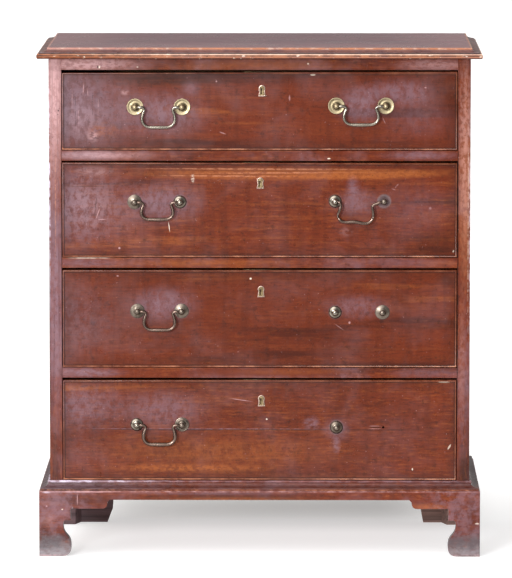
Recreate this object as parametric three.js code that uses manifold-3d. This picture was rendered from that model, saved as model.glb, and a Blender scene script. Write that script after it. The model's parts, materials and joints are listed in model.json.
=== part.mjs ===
// A mahogany chest of four long graduated drawers, with a flat front, a moulded top and bracket feet.
// Millimetres, +Z up. The front faces -Y, and the origin is on the floor under the middle of the top.

import * as THREE from 'three';
import { mergeVertices } from 'three/addons/utils/BufferGeometryUtils.js';
import Module from 'manifold-3d';

const wasm = await Module();
wasm.setup();

// Driving dimensions

// The case
const CASE_WIDTH = 889;
const CASE_DEPTH = 470;
const SIDE_THICKNESS = 20;
const STILE_WIDTH = 27;
const STILE_DEPTH = 20;
const DIVIDER_THICKNESS = 22;
const TOP_RAIL_HEIGHT = 24.5;
const TOP_RAIL_DEPTH = 60;
const BOTTOM_THICKNESS = 20;
const BACK_THICKNESS = 10;
const BACK_REBATE = 10;
const HOUSING_DEPTH = 6;
const GUIDE_HEIGHT = 18;

// The drawer openings, drawer 1 at the top
const OPENING_1 = 170;
const OPENING_2 = 205;
const OPENING_3 = 212;
const OPENING_4 = 219;

// The drawers
const FRONT_THICKNESS = 20;
const FRONT_END_GAP = 1.3;
const FRONT_LIFT = 1.4;
const FRONT_TOP_GAP = 5.5;
const BEAD_WIDTH = 3;
const BEAD_PROUD = 2.5;
const DRAWER_REAR_GAP = 20;
const DRAWER_LENGTH = CASE_DEPTH - BACK_THICKNESS - DRAWER_REAR_GAP;
const DRAWER_SIDE_THICKNESS = 10;
const DRAWER_SIDE_LIFT = 0.5;
const DRAWER_SIDE_DROP = 6;
const DRAWER_BACK_THICKNESS = 10;
const DRAWER_BACK_DROP = 8;
const DRAWER_BOTTOM_THICKNESS = 7;
const DRAWER_BOTTOM_LIFT = 12;
const GROOVE_DEPTH = 4.5;
const DOVETAIL_LAP = 6;
const DOVETAIL_WIDTH = 22;
const DOVETAIL_FLARE = 3;

// The keyholes
const KEYHOLE_HEIGHT = 24;
const KEYHOLE_WIDTH = 16;
const KEYHOLE_HEAD_WIDTH = 14.5;
const KEYHOLE_WAIST_WIDTH = 12.5;
const KEYHOLE_DEPTH = 9;
const KEYHOLE_BELOW_EDGE = 42;

// The top board
const TOP_THICKNESS = 22.5;
const TOP_OVERHANG = 24.5;
const TOP_MOULDING_WIDTH = 23;
const NOSE_HEIGHT = 10.9;
const NOSE_DEPTH = 3.4;
const QUIRK_SET_BACK = 4.8;
const QUIRK_HEIGHT = 1.6;
const TOP_FILLET_HEIGHT = 3.6;
const TOP_FILLET_STEP = 1;
const TOP_ARRIS_ROUND = 1.4;

// The base moulding
const BEAD_PROJECTION = 5;
const BEAD_HEIGHT = 5;
const COVE_START = 3.6;
const COVE_END = 18;
const LOW_FILLET_PROJECTION = 19.5;
const LOW_FILLET_HEIGHT = 6;

// The plinth and its bracket feet
const FOOT_HEIGHT = 140;
const PLINTH_PROJECTION = 22.5;
const PLINTH_THICKNESS = 26;
const APRON_DEPTH = 19;
const WING_REACH = 150;
const WING_DROP = 19;
const WING_NIB = 5;
const WING_ROUND = 17;
const HIP_REACH = 67;
const HIP_DROP = 25;
const STEP_REACH = 54;
const NECK_REACH = 51;
const NECK_DROP = 12;
const SWELL_REACH = 68;
const SWELL_HEIGHT = 25;
const TOE_REACH = 46;
const FRONT_BLOCK = 24;
const REAR_BLOCK_WIDTH = 44;
const REAR_BLOCK_LENGTH = 34;
const REAR_BRACKET_THICKNESS = 20;
const REAR_BRACKET_LEFT_TOP = 148;
const REAR_BRACKET_LEFT_FOOT = 137;
const REAR_BRACKET_RIGHT_TOP = 136;
const REAR_BRACKET_RIGHT_FOOT = 110;

// The handles
const HANDLE_OUT = 212;
const POST_SPACING = 100;
const BAIL_DROP = 40;
const WIRE_RADIUS = 2.1;
const PIN_CLEARANCE = 0.5;
const PIVOT_OUT = 14.5;
const BALL_RADIUS = 6.3;
const PIN_HOLE_DEPTH = 7;
const PIN_SHORT = 1.5;
const POST_NECK_RADIUS = 3.2;
const SHANK_RADIUS = 2.2;
const SHANK_CLEARANCE = 0.4;
const SHANK_SPARE = 4;
const NUT_RADIUS = 4.8;
const NUT_THICKNESS = 3.2;
const DISHED_ROSE_RADIUS = 17.6;
const DISHED_ROSE_HEIGHT = 3.2;
const DOMED_ROSE_RADIUS = 13.8;
const DOMED_ROSE_HEIGHT = 7;
const FLAT_ROSE_RADIUS = 15.2;
const FLAT_ROSE_HEIGHT = 4;

// Clearances and allowances
const JOINT_GAP = 0.3;
const OVERRUN = 5;
const GLUE_OVERLAP = 1;

// How finely the curves are cut
const NOSE_STEPS = 6;
const COVE_STEPS = 5;
const FOOT_STEPS = 6;
const KEYHOLE_STEPS = 3;
const ROUND_SIDES = 12;
const WIRE_SIDES = 8;
const HOLE_SIDES = 10;
const WIRE_STEPS = 40;

// Levels and faces worked out from the driving dimensions

const CASE_HALF = CASE_WIDTH / 2;
const SIDE_IN = CASE_HALF - SIDE_THICKNESS;
const STILE_IN = CASE_HALF - STILE_WIDTH;
const PLINTH_HALF = CASE_HALF + PLINTH_PROJECTION;
const PLINTH_IN = PLINTH_HALF - PLINTH_THICKNESS;
const TOP_HALF = CASE_HALF + TOP_OVERHANG;

const TOP_FRONT = -(CASE_DEPTH + TOP_OVERHANG) / 2;
const FRONT = TOP_FRONT + TOP_OVERHANG;
const BACK = FRONT + CASE_DEPTH;
const STILE_BACK = FRONT + STILE_DEPTH;
const PANEL_FRONT = BACK - BACK_THICKNESS;
const PLINTH_FRONT = FRONT - PLINTH_PROJECTION;
const PLINTH_FRONT_IN = PLINTH_FRONT + PLINTH_THICKNESS;
const REAR_BRACKET_FRONT = BACK - REAR_BRACKET_THICKNESS;

const FLOOR_4 = FOOT_HEIGHT + BOTTOM_THICKNESS;
const CEILING_4 = FLOOR_4 + OPENING_4;
const FLOOR_3 = CEILING_4 + DIVIDER_THICKNESS;
const CEILING_3 = FLOOR_3 + OPENING_3;
const FLOOR_2 = CEILING_3 + DIVIDER_THICKNESS;
const CEILING_2 = FLOOR_2 + OPENING_2;
const FLOOR_1 = CEILING_2 + DIVIDER_THICKNESS;
const CEILING_1 = FLOOR_1 + OPENING_1;
const CASE_TOP = CEILING_1 + TOP_RAIL_HEIGHT;

const MITRE_SHIFT = JOINT_GAP * Math.SQRT2;

// Finishes

const finish = (color, roughness, metalness = 0) =>
  new THREE.MeshStandardMaterial({ color, roughness, metalness });

const mahogany = finish(0x7a3a2a, 0.42);
const redMahogany = finish(0x84402c, 0.4);
const pine = finish(0xb58a5c, 0.75);
const oak = finish(0xa98258, 0.7);
const brightBrass = finish(0xc9b070, 0.32, 1);
const darkBrass = finish(0x7d6a4e, 0.45, 1);

// Solids

// A box between two values on each axis. The values are kept as given, so boards that share one touch.
function box([x0, x1], [y0, y1], [z0, z1]) {
  const geometry = new THREE.BoxGeometry(1, 1, 1);
  const corners = geometry.getAttribute('position');
  for (let i = 0; i < corners.count; i += 1) {
    corners.setXYZ(
      i,
      corners.getX(i) < 0 ? x0 : x1,
      corners.getY(i) < 0 ? y0 : y1,
      corners.getZ(i) < 0 ? z0 : z1,
    );
  }
  return geometry;
}

// An outline extruded from one value to another. Its two axes are y and z for a run along x,
// x and z for a run along y, and x and y for a run along z.
function prism(shape, axis, from, to, curveSegments = FOOT_STEPS) {
  const geometry = new THREE.ExtrudeGeometry(shape, { depth: 1, bevelEnabled: false, curveSegments });
  const corners = geometry.getAttribute('position');
  for (let i = 0; i < corners.count; i += 1) {
    const u = corners.getX(i);
    const v = corners.getY(i);
    const far = corners.getZ(i) > 0;
    if (axis === 'x') corners.setXYZ(i, far ? to : from, u, v);
    if (axis === 'y') corners.setXYZ(i, u, far ? from : to, v);
    if (axis === 'z') corners.setXYZ(i, u, v, far ? to : from);
  }
  return geometry;
}

const outline = (points) => new THREE.Shape(points.map(([u, v]) => new THREE.Vector2(u, v)));

// A closed geometry as a manifold, for cutting and joining.
function solid(geometry) {
  const bare = geometry.clone();
  bare.deleteAttribute('normal');
  bare.deleteAttribute('uv');
  const merged = mergeVertices(bare);
  const index = merged.getIndex().array;
  const triVerts = [];
  for (let i = 0; i < index.length; i += 3) {
    const [a, b, c] = [index[i], index[i + 1], index[i + 2]];
    if (a !== b && b !== c && c !== a) triVerts.push(a, b, c);
  }
  const mesh = new wasm.Mesh({
    numProp: 3,
    vertProperties: new Float32Array(merged.getAttribute('position').array),
    triVerts: new Uint32Array(triVerts),
  });
  return new wasm.Manifold(mesh);
}

// A manifold back as a geometry with a flat normal on each face.
function geometryOf(manifold) {
  const mesh = manifold.getMesh();
  const shared = new THREE.BufferGeometry();
  shared.setAttribute('position', new THREE.BufferAttribute(mesh.vertProperties, 3));
  shared.setIndex(new THREE.BufferAttribute(mesh.triVerts, 1));
  const geometry = shared.toNonIndexed();
  geometry.computeVertexNormals();
  return geometry;
}

const joined = (base, ...more) =>
  geometryOf(more.reduce((sum, piece) => sum.add(solid(piece)), solid(base)));

const cutFrom = (base, cuts) =>
  geometryOf(cuts.reduce((rest, cut) => rest.subtract(solid(cut)), solid(base)));

const common = (a, b) => geometryOf(solid(a).intersect(solid(b)));

function mesh(name, geometry, material) {
  const piece = new THREE.Mesh(geometry, material);
  piece.name = name;
  return piece;
}

// The two ends of a range, in order, on the left (-1) or right (+1) of the chest.
const across = (hand, near, far) => (hand < 0 ? [-far, -near] : [near, far]);

const hands = [
  ['left', -1],
  ['right', 1],
];

// The case

// A shelf's outline: it stops between the stiles in front and runs into the side panels' housings behind.
function shelfOutline(reach, back) {
  const right = [
    [STILE_IN, FRONT],
    [STILE_IN, STILE_BACK],
    [reach, STILE_BACK],
    [reach, back],
  ];
  const left = right.map(([x, y]) => [-x, y]).reverse();
  return outline([...right, ...left]);
}

const shelf = (z0, z1) => prism(shelfOutline(SIDE_IN + HOUSING_DEPTH, PANEL_FRONT), 'z', z0, z1);

const shelfLevels = [
  [FOOT_HEIGHT, FLOOR_4],
  [CEILING_4, FLOOR_3],
  [CEILING_3, FLOOR_2],
  [CEILING_2, FLOOR_1],
];

// A side panel, with housings for the shelves, a rebate for the back and a guide over each shelf.
function sidePanel(hand) {
  const panel = box(across(hand, SIDE_IN, CASE_HALF), [STILE_BACK, BACK], [FOOT_HEIGHT, CASE_TOP]);
  const rebate = box(
    across(hand, SIDE_IN - OVERRUN, SIDE_IN + BACK_REBATE),
    [PANEL_FRONT, BACK + OVERRUN],
    [FOOT_HEIGHT - OVERRUN, CASE_TOP + OVERRUN],
  );
  const housings = shelfLevels.map(([z0, z1], i) =>
    box(
      across(hand, SIDE_IN - OVERRUN, SIDE_IN + HOUSING_DEPTH),
      [STILE_BACK - OVERRUN, PANEL_FRONT + OVERRUN],
      [i === 0 ? z0 - OVERRUN : z0, z1],
    ),
  );
  const guides = shelfLevels.map(([, floor]) =>
    box(
      across(hand, STILE_IN, SIDE_IN + GLUE_OVERLAP),
      [STILE_BACK, PANEL_FRONT],
      [floor, floor + GUIDE_HEIGHT],
    ),
  );
  return joined(cutFrom(panel, [rebate, ...housings]), ...guides);
}

function buildCase() {
  const group = new THREE.Group();
  for (const [word, hand] of hands) {
    const stile = box(across(hand, STILE_IN, CASE_HALF), [FRONT, STILE_BACK], [FOOT_HEIGHT, CASE_TOP]);
    group.add(mesh(`side_${word}`, sidePanel(hand), mahogany));
    group.add(mesh(`stile_${word}`, stile, redMahogany));
  }
  const topRail = prism(shelfOutline(SIDE_IN, FRONT + TOP_RAIL_DEPTH), 'z', CEILING_1, CASE_TOP);
  group.add(mesh('top_rail', topRail, redMahogany));
  group.add(mesh('divider_1', shelf(CEILING_2, FLOOR_1), redMahogany));
  group.add(mesh('divider_2', shelf(CEILING_3, FLOOR_2), redMahogany));
  group.add(mesh('divider_3', shelf(CEILING_4, FLOOR_3), redMahogany));
  group.add(mesh('bottom_board', shelf(FOOT_HEIGHT, FLOOR_4), redMahogany));
  const panelHalf = SIDE_IN + BACK_REBATE;
  const back = box([-panelHalf, panelHalf], [PANEL_FRONT, BACK], [FOOT_HEIGHT, CASE_TOP]);
  group.add(mesh('back_panel', back, pine));
  return group;
}

// The top board

// The moulded edge from the underside up to the top arris: inward from the nose, and up.
function topEdge() {
  const coveTop = TOP_THICKNESS - TOP_FILLET_HEIGHT;
  const coveFoot = NOSE_HEIGHT + QUIRK_HEIGHT;
  const filletIn = TOP_MOULDING_WIDTH - TOP_ARRIS_ROUND;
  const coveIn = filletIn - TOP_FILLET_STEP;
  const edge = new THREE.Path();
  edge.moveTo(NOSE_DEPTH, 0);
  const noseMiddle = NOSE_HEIGHT / 2;
  edge.absellipse(NOSE_DEPTH, noseMiddle, NOSE_DEPTH, noseMiddle, -Math.PI / 2, Math.PI / 2, true);
  edge.lineTo(QUIRK_SET_BACK, NOSE_HEIGHT);
  edge.lineTo(QUIRK_SET_BACK, coveFoot);
  const coveRun = coveIn - QUIRK_SET_BACK;
  const coveRise = coveTop - coveFoot;
  edge.absellipse(QUIRK_SET_BACK, coveTop, coveRun, coveRise, -Math.PI / 2, 0, false);
  edge.lineTo(filletIn, coveTop);
  edge.lineTo(filletIn, TOP_THICKNESS - TOP_ARRIS_ROUND);
  edge.lineTo(TOP_MOULDING_WIDTH, TOP_THICKNESS);
  return edge.getPoints(NOSE_STEPS).map((p) => [p.x, CASE_TOP + p.y]);
}

// Two runs of the same moulding, one along each axis: what they share has mitred corners.
function buildTop() {
  const edge = topEdge();
  const leftEdge = edge.map(([inward, z]) => [-TOP_HALF + inward, z]);
  const rightEdge = edge.map(([inward, z]) => [TOP_HALF - inward, z]).reverse();
  const frontEdge = edge.map(([inward, z]) => [TOP_FRONT + inward, z]);
  const backEdge = [
    [BACK, CASE_TOP + TOP_THICKNESS],
    [BACK, CASE_TOP],
  ];
  const along = prism(outline([...leftEdge, ...rightEdge]), 'y', TOP_FRONT, BACK);
  const acrossRun = prism(outline([...frontEdge, ...backEdge]), 'x', -TOP_HALF, TOP_HALF);
  return mesh('top_board', common(along, acrossRun), mahogany);
}

// The base moulding and the plinth

// A run along one side of the case, cut by a plan outline that mitres it at the front corners.
function frontPlan(half, front, depth) {
  return outline([
    [-half, front],
    [half, front],
    [half - depth, front + depth],
    [depth - half, front + depth],
  ]);
}

function sidePlan(hand, half, front, depth) {
  return outline([
    [hand * half, front + MITRE_SHIFT],
    [hand * half, BACK],
    [hand * (half - depth), BACK],
    [hand * (half - depth), front + depth + MITRE_SHIFT],
  ]);
}

// The base moulding's section: outward from the case and up from the plinth.
function baseSection() {
  const coveFoot = LOW_FILLET_HEIGHT;
  const coveTop = BOTTOM_THICKNESS - BEAD_HEIGHT;
  const section = new THREE.Path();
  section.moveTo(LOW_FILLET_PROJECTION, 0);
  section.lineTo(LOW_FILLET_PROJECTION, coveFoot);
  section.lineTo(COVE_END, coveFoot);
  const coveRun = COVE_END - COVE_START;
  const coveRise = coveTop - coveFoot;
  section.absellipse(COVE_END, coveTop, coveRun, coveRise, -Math.PI / 2, -Math.PI, true);
  section.absellipse(
    COVE_START,
    coveTop + BEAD_HEIGHT / 2,
    BEAD_PROJECTION - COVE_START,
    BEAD_HEIGHT / 2,
    -Math.PI / 2,
    Math.PI / 2,
    false,
  );
  section.lineTo(0, BOTTOM_THICKNESS);
  section.lineTo(0, 0);
  return section.getPoints(COVE_STEPS).map((p) => [p.x, FOOT_HEIGHT + p.y]);
}

function buildBaseMoulding() {
  const group = new THREE.Group();
  const section = baseSection();
  const half = CASE_HALF + PLINTH_PROJECTION;
  const front = FRONT - PLINTH_PROJECTION;
  const frontShape = outline(section.map(([out, z]) => [FRONT - out, z]));
  const frontRun = prism(frontShape, 'x', -half, half);
  const frontCut = prism(frontPlan(half, front, PLINTH_PROJECTION), 'z', 0, CASE_TOP);
  group.add(mesh('base_moulding_front', common(frontRun, frontCut), redMahogany));
  for (const [word, hand] of hands) {
    const sideShape = outline(section.map(([out, z]) => [hand * (CASE_HALF + out), z]));
    const sideRun = prism(sideShape, 'y', front, BACK);
    const sideCut = prism(sidePlan(hand, half, front, PLINTH_PROJECTION), 'z', 0, CASE_TOP);
    group.add(mesh(`base_moulding_${word}`, common(sideRun, sideCut), redMahogany));
  }
  return group;
}

// One bracket foot's sawn edge from the toe to the apron: inward from the outer corner, and up.
function footEdge() {
  const apron = FOOT_HEIGHT - APRON_DEPTH;
  const wing = apron - WING_DROP;
  const hip = wing - HIP_DROP;
  const neck = hip - NECK_DROP;
  const middle = (neck + SWELL_HEIGHT) / 2;
  const edge = new THREE.Path();
  edge.moveTo(TOE_REACH, 0);
  edge.bezierCurveTo(SWELL_REACH, 0, SWELL_REACH, SWELL_HEIGHT / 2, SWELL_REACH, SWELL_HEIGHT);
  edge.bezierCurveTo(SWELL_REACH, middle, NECK_REACH, middle, NECK_REACH, neck);
  edge.quadraticCurveTo(NECK_REACH, hip, STEP_REACH, hip);
  edge.lineTo(HIP_REACH, hip);
  edge.lineTo(HIP_REACH, wing);
  edge.lineTo(WING_REACH - WING_ROUND, wing);
  edge.quadraticCurveTo(WING_REACH - WING_NIB, wing, WING_REACH - WING_NIB, apron - WING_NIB);
  edge.lineTo(WING_REACH, apron);
  return edge.getPoints(FOOT_STEPS).map((p) => [p.x, p.y]);
}

// A plinth board's outline, from the outer edge of one foot to the outer edge of the other.
function plinthOutline(start, end) {
  const edge = footEdge();
  return outline([
    [start, 0],
    ...edge.map(([inward, z]) => [start + inward, z]),
    ...edge.map(([inward, z]) => [end - inward, z]).reverse(),
    [end, 0],
    [end, FOOT_HEIGHT],
    [start, FOOT_HEIGHT],
  ]);
}

function buildPlinth() {
  const group = new THREE.Group();
  const frontBoard = prism(plinthOutline(-PLINTH_HALF, PLINTH_HALF), 'y', PLINTH_FRONT, PLINTH_FRONT_IN);
  const frontCut = prism(
    frontPlan(PLINTH_HALF, PLINTH_FRONT, PLINTH_THICKNESS),
    'z',
    -OVERRUN,
    FOOT_HEIGHT + OVERRUN,
  );
  group.add(mesh('plinth_front', common(frontBoard, frontCut), redMahogany));
  for (const [word, hand] of hands) {
    const board = prism(plinthOutline(PLINTH_FRONT, BACK), 'x', ...across(hand, PLINTH_IN, PLINTH_HALF));
    const cut = prism(
      sidePlan(hand, PLINTH_HALF, PLINTH_FRONT, PLINTH_THICKNESS),
      'z',
      -OVERRUN,
      FOOT_HEIGHT + OVERRUN,
    );
    const blockFront = PLINTH_FRONT_IN + MITRE_SHIFT;
    const block = box(
      across(hand, PLINTH_IN - FRONT_BLOCK, PLINTH_IN + GLUE_OVERLAP),
      [blockFront, blockFront + FRONT_BLOCK],
      [0, FOOT_HEIGHT],
    );
    group.add(mesh(`plinth_${word}`, joined(common(board, cut), block), redMahogany));
  }
  return group;
}

// A rear bracket: a plain board with a raking end, and the glue block in its corner.
function rearBracket(hand, topReach, footReach) {
  const board = prism(
    outline([
      [hand * PLINTH_IN, 0],
      [hand * (PLINTH_HALF - footReach), 0],
      [hand * (PLINTH_HALF - topReach), FOOT_HEIGHT],
      [hand * PLINTH_IN, FOOT_HEIGHT],
    ]),
    'y',
    REAR_BRACKET_FRONT,
    BACK,
  );
  const blockIn = PLINTH_IN - REAR_BLOCK_WIDTH;
  const blockFront = REAR_BRACKET_FRONT - REAR_BLOCK_LENGTH;
  const block = prism(
    outline([
      [hand * PLINTH_IN, REAR_BRACKET_FRONT + GLUE_OVERLAP],
      [hand * blockIn, REAR_BRACKET_FRONT + GLUE_OVERLAP],
      [hand * blockIn, REAR_BRACKET_FRONT],
      [hand * (blockIn + REAR_BLOCK_WIDTH / 4), blockFront],
      [hand * PLINTH_IN, blockFront],
    ]),
    'z',
    0,
    FOOT_HEIGHT,
  );
  return joined(board, block);
}

function buildRearBrackets() {
  const group = new THREE.Group();
  const left = rearBracket(-1, REAR_BRACKET_LEFT_TOP, REAR_BRACKET_LEFT_FOOT);
  const right = rearBracket(1, REAR_BRACKET_RIGHT_TOP, REAR_BRACKET_RIGHT_FOOT);
  group.add(mesh('rear_bracket_left', left, pine));
  group.add(mesh('rear_bracket_right', right, pine));
  return group;
}

// The drawers. Each is built in its own frame: the middle of its opening's floor, at the front.

const FRONT_HALF = STILE_IN - FRONT_END_GAP;
const DRAWER_IN = FRONT_HALF - DRAWER_SIDE_THICKNESS;
const GROOVE_TOP = DRAWER_BOTTOM_LIFT + DRAWER_BOTTOM_THICKNESS;

// A drawer's opening, where it stands, how many tails its sides have, the gap over its front and the
// places of its keyhole, as shares of the nominal sizes.
const drawers = [
  {
    number: 1, floor: FLOOR_1, opening: OPENING_1,
    tails: 3, gapShare: 1.1, keyAsideShare: 0.0063, keyDropShare: 0.9,
  },
  {
    number: 2, floor: FLOOR_2, opening: OPENING_2,
    tails: 4, gapShare: 0.8, keyAsideShare: 0.002, keyDropShare: 1.01,
  },
  {
    number: 3, floor: FLOOR_3, opening: OPENING_3,
    tails: 4, gapShare: 1, keyAsideShare: 0.0038, keyDropShare: 1.06,
  },
  {
    number: 4, floor: FLOOR_4, opening: OPENING_4,
    tails: 4, gapShare: 1, keyAsideShare: 0.0046, keyDropShare: 1.03,
  },
];

const frontTop = (drawer) => drawer.opening - FRONT_TOP_GAP * drawer.gapShare;
const sideTop = (drawer) => frontTop(drawer) - DRAWER_SIDE_DROP;

// The middles of the dovetails, spread evenly up the drawer's side.
function tailHeights(drawer) {
  const pitch = (sideTop(drawer) - DRAWER_SIDE_LIFT) / drawer.tails;
  return Array.from({ length: drawer.tails }, (_, i) => DRAWER_SIDE_LIFT + pitch * (i + 1 / 2));
}

// One tail, from the front's inner face to its lap, grown by a clearance where it is the socket.
function tailPoints(middle, clearance) {
  const root = DOVETAIL_WIDTH / 2 + clearance;
  const tip = root + DOVETAIL_FLARE;
  return [
    [FRONT_THICKNESS, middle + root],
    [DOVETAIL_LAP - clearance, middle + tip],
    [DOVETAIL_LAP - clearance, middle - tip],
    [FRONT_THICKNESS, middle - root],
  ];
}

function drawerSide(drawer, hand) {
  const top = sideTop(drawer);
  const tails = tailHeights(drawer).reverse().flatMap((middle) => tailPoints(middle, 0));
  const board = prism(
    outline([
      [DRAWER_LENGTH, DRAWER_SIDE_LIFT],
      [DRAWER_LENGTH, top],
      [FRONT_THICKNESS, top],
      ...tails,
      [FRONT_THICKNESS, DRAWER_SIDE_LIFT],
    ]),
    'x',
    ...across(hand, DRAWER_IN, FRONT_HALF),
  );
  const groove = box(
    across(hand, DRAWER_IN - OVERRUN, DRAWER_IN + GROOVE_DEPTH),
    [0, DRAWER_LENGTH + OVERRUN],
    [DRAWER_BOTTOM_LIFT, GROOVE_TOP + JOINT_GAP],
  );
  return cutFrom(board, [groove]);
}

// The keyhole's outline: a round head over a waist and a spreading skirt.
function keyholeShape(x, top) {
  const head = KEYHOLE_HEAD_WIDTH / 2;
  const waist = KEYHOLE_WAIST_WIDTH / 2;
  const skirt = KEYHOLE_WIDTH / 2;
  const headMiddle = top - head;
  const waistLevel = top - KEYHOLE_HEIGHT / 2;
  const foot = top - KEYHOLE_HEIGHT;
  const shape = new THREE.Shape();
  shape.moveTo(x - skirt, foot);
  shape.lineTo(x + skirt, foot);
  shape.quadraticCurveTo(x + waist, (foot + waistLevel) / 2, x + waist, waistLevel);
  shape.lineTo(x + head, headMiddle);
  shape.absellipse(x, headMiddle, head, head, 0, Math.PI, false);
  shape.lineTo(x - waist, waistLevel);
  shape.quadraticCurveTo(x - waist, (foot + waistLevel) / 2, x - skirt, foot);
  return shape;
}

function drawerFront(drawer) {
  const top = frontTop(drawer);
  const board = box([-FRONT_HALF, FRONT_HALF], [0, FRONT_THICKNESS], [FRONT_LIFT, top]);
  const beadOutline = outline([
    [-FRONT_HALF, FRONT_LIFT],
    [FRONT_HALF, FRONT_LIFT],
    [FRONT_HALF, top],
    [-FRONT_HALF, top],
  ]);
  const fieldHalf = FRONT_HALF - BEAD_WIDTH;
  const field = outline([
    [-fieldHalf, FRONT_LIFT + BEAD_WIDTH],
    [fieldHalf, FRONT_LIFT + BEAD_WIDTH],
    [fieldHalf, top - BEAD_WIDTH],
    [-fieldHalf, top - BEAD_WIDTH],
  ]);
  beadOutline.holes.push(field);
  const cockbead = prism(beadOutline, 'y', -BEAD_PROUD, GLUE_OVERLAP);

  const keyX = FRONT_HALF * 2 * drawer.keyAsideShare;
  const keyTop = top - KEYHOLE_BELOW_EDGE * drawer.keyDropShare + KEYHOLE_HEIGHT / 2;
  const keyhole = prism(keyholeShape(keyX, keyTop), 'y', -OVERRUN, KEYHOLE_DEPTH, KEYHOLE_STEPS);
  const groove = box(
    [-DRAWER_IN - GROOVE_DEPTH, DRAWER_IN + GROOVE_DEPTH],
    [FRONT_THICKNESS - GROOVE_DEPTH, FRONT_THICKNESS + OVERRUN],
    [DRAWER_BOTTOM_LIFT, GROOVE_TOP + JOINT_GAP],
  );
  const sockets = hands.flatMap(([, hand]) =>
    tailHeights(drawer).map((middle) =>
      prism(
        outline([
          ...tailPoints(middle, JOINT_GAP),
          [FRONT_THICKNESS + OVERRUN, middle - DOVETAIL_WIDTH / 2],
          [FRONT_THICKNESS + OVERRUN, middle + DOVETAIL_WIDTH / 2],
        ]),
        'x',
        ...across(hand, DRAWER_IN - JOINT_GAP, FRONT_HALF + OVERRUN),
      ),
    ),
  );
  const bores = postPlaces(drawer).map(({ x, z }) => boltHole(x, z));
  return cutFrom(joined(board, cockbead), [keyhole, groove, ...sockets, ...bores]);
}

function boltHole(x, z) {
  const radius = SHANK_RADIUS + SHANK_CLEARANCE;
  const length = FRONT_THICKNESS + OVERRUN * 2;
  const hole = new THREE.CylinderGeometry(radius, radius, length, HOLE_SIDES);
  hole.translate(x, FRONT_THICKNESS / 2, z);
  return hole;
}

function buildDrawer(drawer) {
  const group = new THREE.Group();
  const name = `drawer_${drawer.number}`;
  group.position.set(0, FRONT, drawer.floor);
  group.add(mesh(`${name}_front`, drawerFront(drawer), mahogany));
  for (const [word, hand] of hands) {
    group.add(mesh(`${name}_side_${word}`, drawerSide(drawer, hand), oak));
  }
  const back = box(
    [-DRAWER_IN, DRAWER_IN],
    [DRAWER_LENGTH - DRAWER_BACK_THICKNESS, DRAWER_LENGTH],
    [GROOVE_TOP, sideTop(drawer) - DRAWER_BACK_DROP],
  );
  const bottomHalf = DRAWER_IN + GROOVE_DEPTH - JOINT_GAP;
  const bottom = box(
    [-bottomHalf, bottomHalf],
    [FRONT_THICKNESS - GROOVE_DEPTH + JOINT_GAP, DRAWER_LENGTH],
    [DRAWER_BOTTOM_LIFT, GROOVE_TOP],
  );
  group.add(mesh(`${name}_back`, back, oak));
  group.add(mesh(`${name}_bottom`, bottom, pine));
  return group;
}

// The handles

// A bail's path from its left post: shares of the post spacing inward, and of the drop down.
// The swan-neck bail is drawn to its middle and mirrored. The bent one is drawn all the way.
const swanShares = [
  [0.16, 0.005],
  [0.2, 0.06],
  [0.196, 0.15],
  [0.172, 0.3],
  [0.153, 0.5],
  [0.158, 0.7],
  [0.2, 0.88],
  [0.28, 0.985],
  [0.36, 1],
];
const bentShares = [
  [0.1, 0.06],
  [0.115, 0.24],
  [0.075, 0.5],
  [0.05, 0.77],
  [0.11, 1],
  [0.2, 1.075],
  [0.39, 1.06],
  [0.59, 1.14],
  [0.69, 1.11],
  [0.765, 0.9],
  [0.78, 0.68],
  [0.77, 0.42],
  [0.758, 0.24],
  [0.8, 0.13],
  [0.87, 0.09],
];
const mirrored = (half) => [...half, ...half.map(([x, z]) => [1 - x, z]).reverse()];

// Each handle: where its middle is from the chest's middle and above its drawer's lower edge, the
// distance between its posts, its bail's drop and stoutness, as shares of the nominal sizes, because
// each was bored and bent by hand. Posts are named from the outer one to the inner one.
const handles = [
  {
    drawer: 1, word: 'left', outShare: 1.004, heightShare: 0.558, spacingShare: 0.99,
    dropShare: 1.05, wireShare: 1, bail: mirrored(swanShares),
    outer: 'dished', inner: 'dished', brass: brightBrass,
  },
  {
    drawer: 1, word: 'right', outShare: 1.008, heightShare: 0.573, spacingShare: 1.042,
    dropShare: 0.975, wireShare: 1, bail: mirrored(swanShares),
    outer: 'dished', inner: 'dished', brass: brightBrass,
  },
  {
    drawer: 2, word: 'left', outShare: 1.018, heightShare: 0.586, spacingShare: 0.959,
    dropShare: 0.9, wireShare: 1.15, bail: mirrored(swanShares),
    outer: 'flat', inner: 'domed', brass: darkBrass,
  },
  {
    drawer: 2, word: 'right', outShare: 0.994, heightShare: 0.595, spacingShare: 1.029,
    dropShare: 1, wireShare: 1, bail: bentShares,
    outer: 'bare', inner: 'domed', brass: darkBrass,
  },
  {
    drawer: 3, word: 'left', outShare: 0.998, heightShare: 0.581, spacingShare: 0.933,
    dropShare: 0.975, wireShare: 1, bail: mirrored(swanShares),
    outer: 'flat', inner: 'flat', brass: darkBrass,
  },
  {
    drawer: 3, word: 'right', outShare: 0.989, heightShare: 0.57, spacingShare: 1,
    bail: null,
    outer: 'flat', inner: 'domed', brass: darkBrass,
  },
  {
    drawer: 4, word: 'left', outShare: 1.001, heightShare: 0.556, spacingShare: 0.957,
    dropShare: 1.02, wireShare: 1.35, bail: mirrored(swanShares),
    outer: 'domed', inner: 'ringed', brass: darkBrass,
  },
  {
    drawer: 4, word: 'right', outShare: 1.002, heightShare: 0.53, spacingShare: 0.993,
    bail: null,
    outer: null, inner: 'domed', brass: darkBrass,
  },
];

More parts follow.
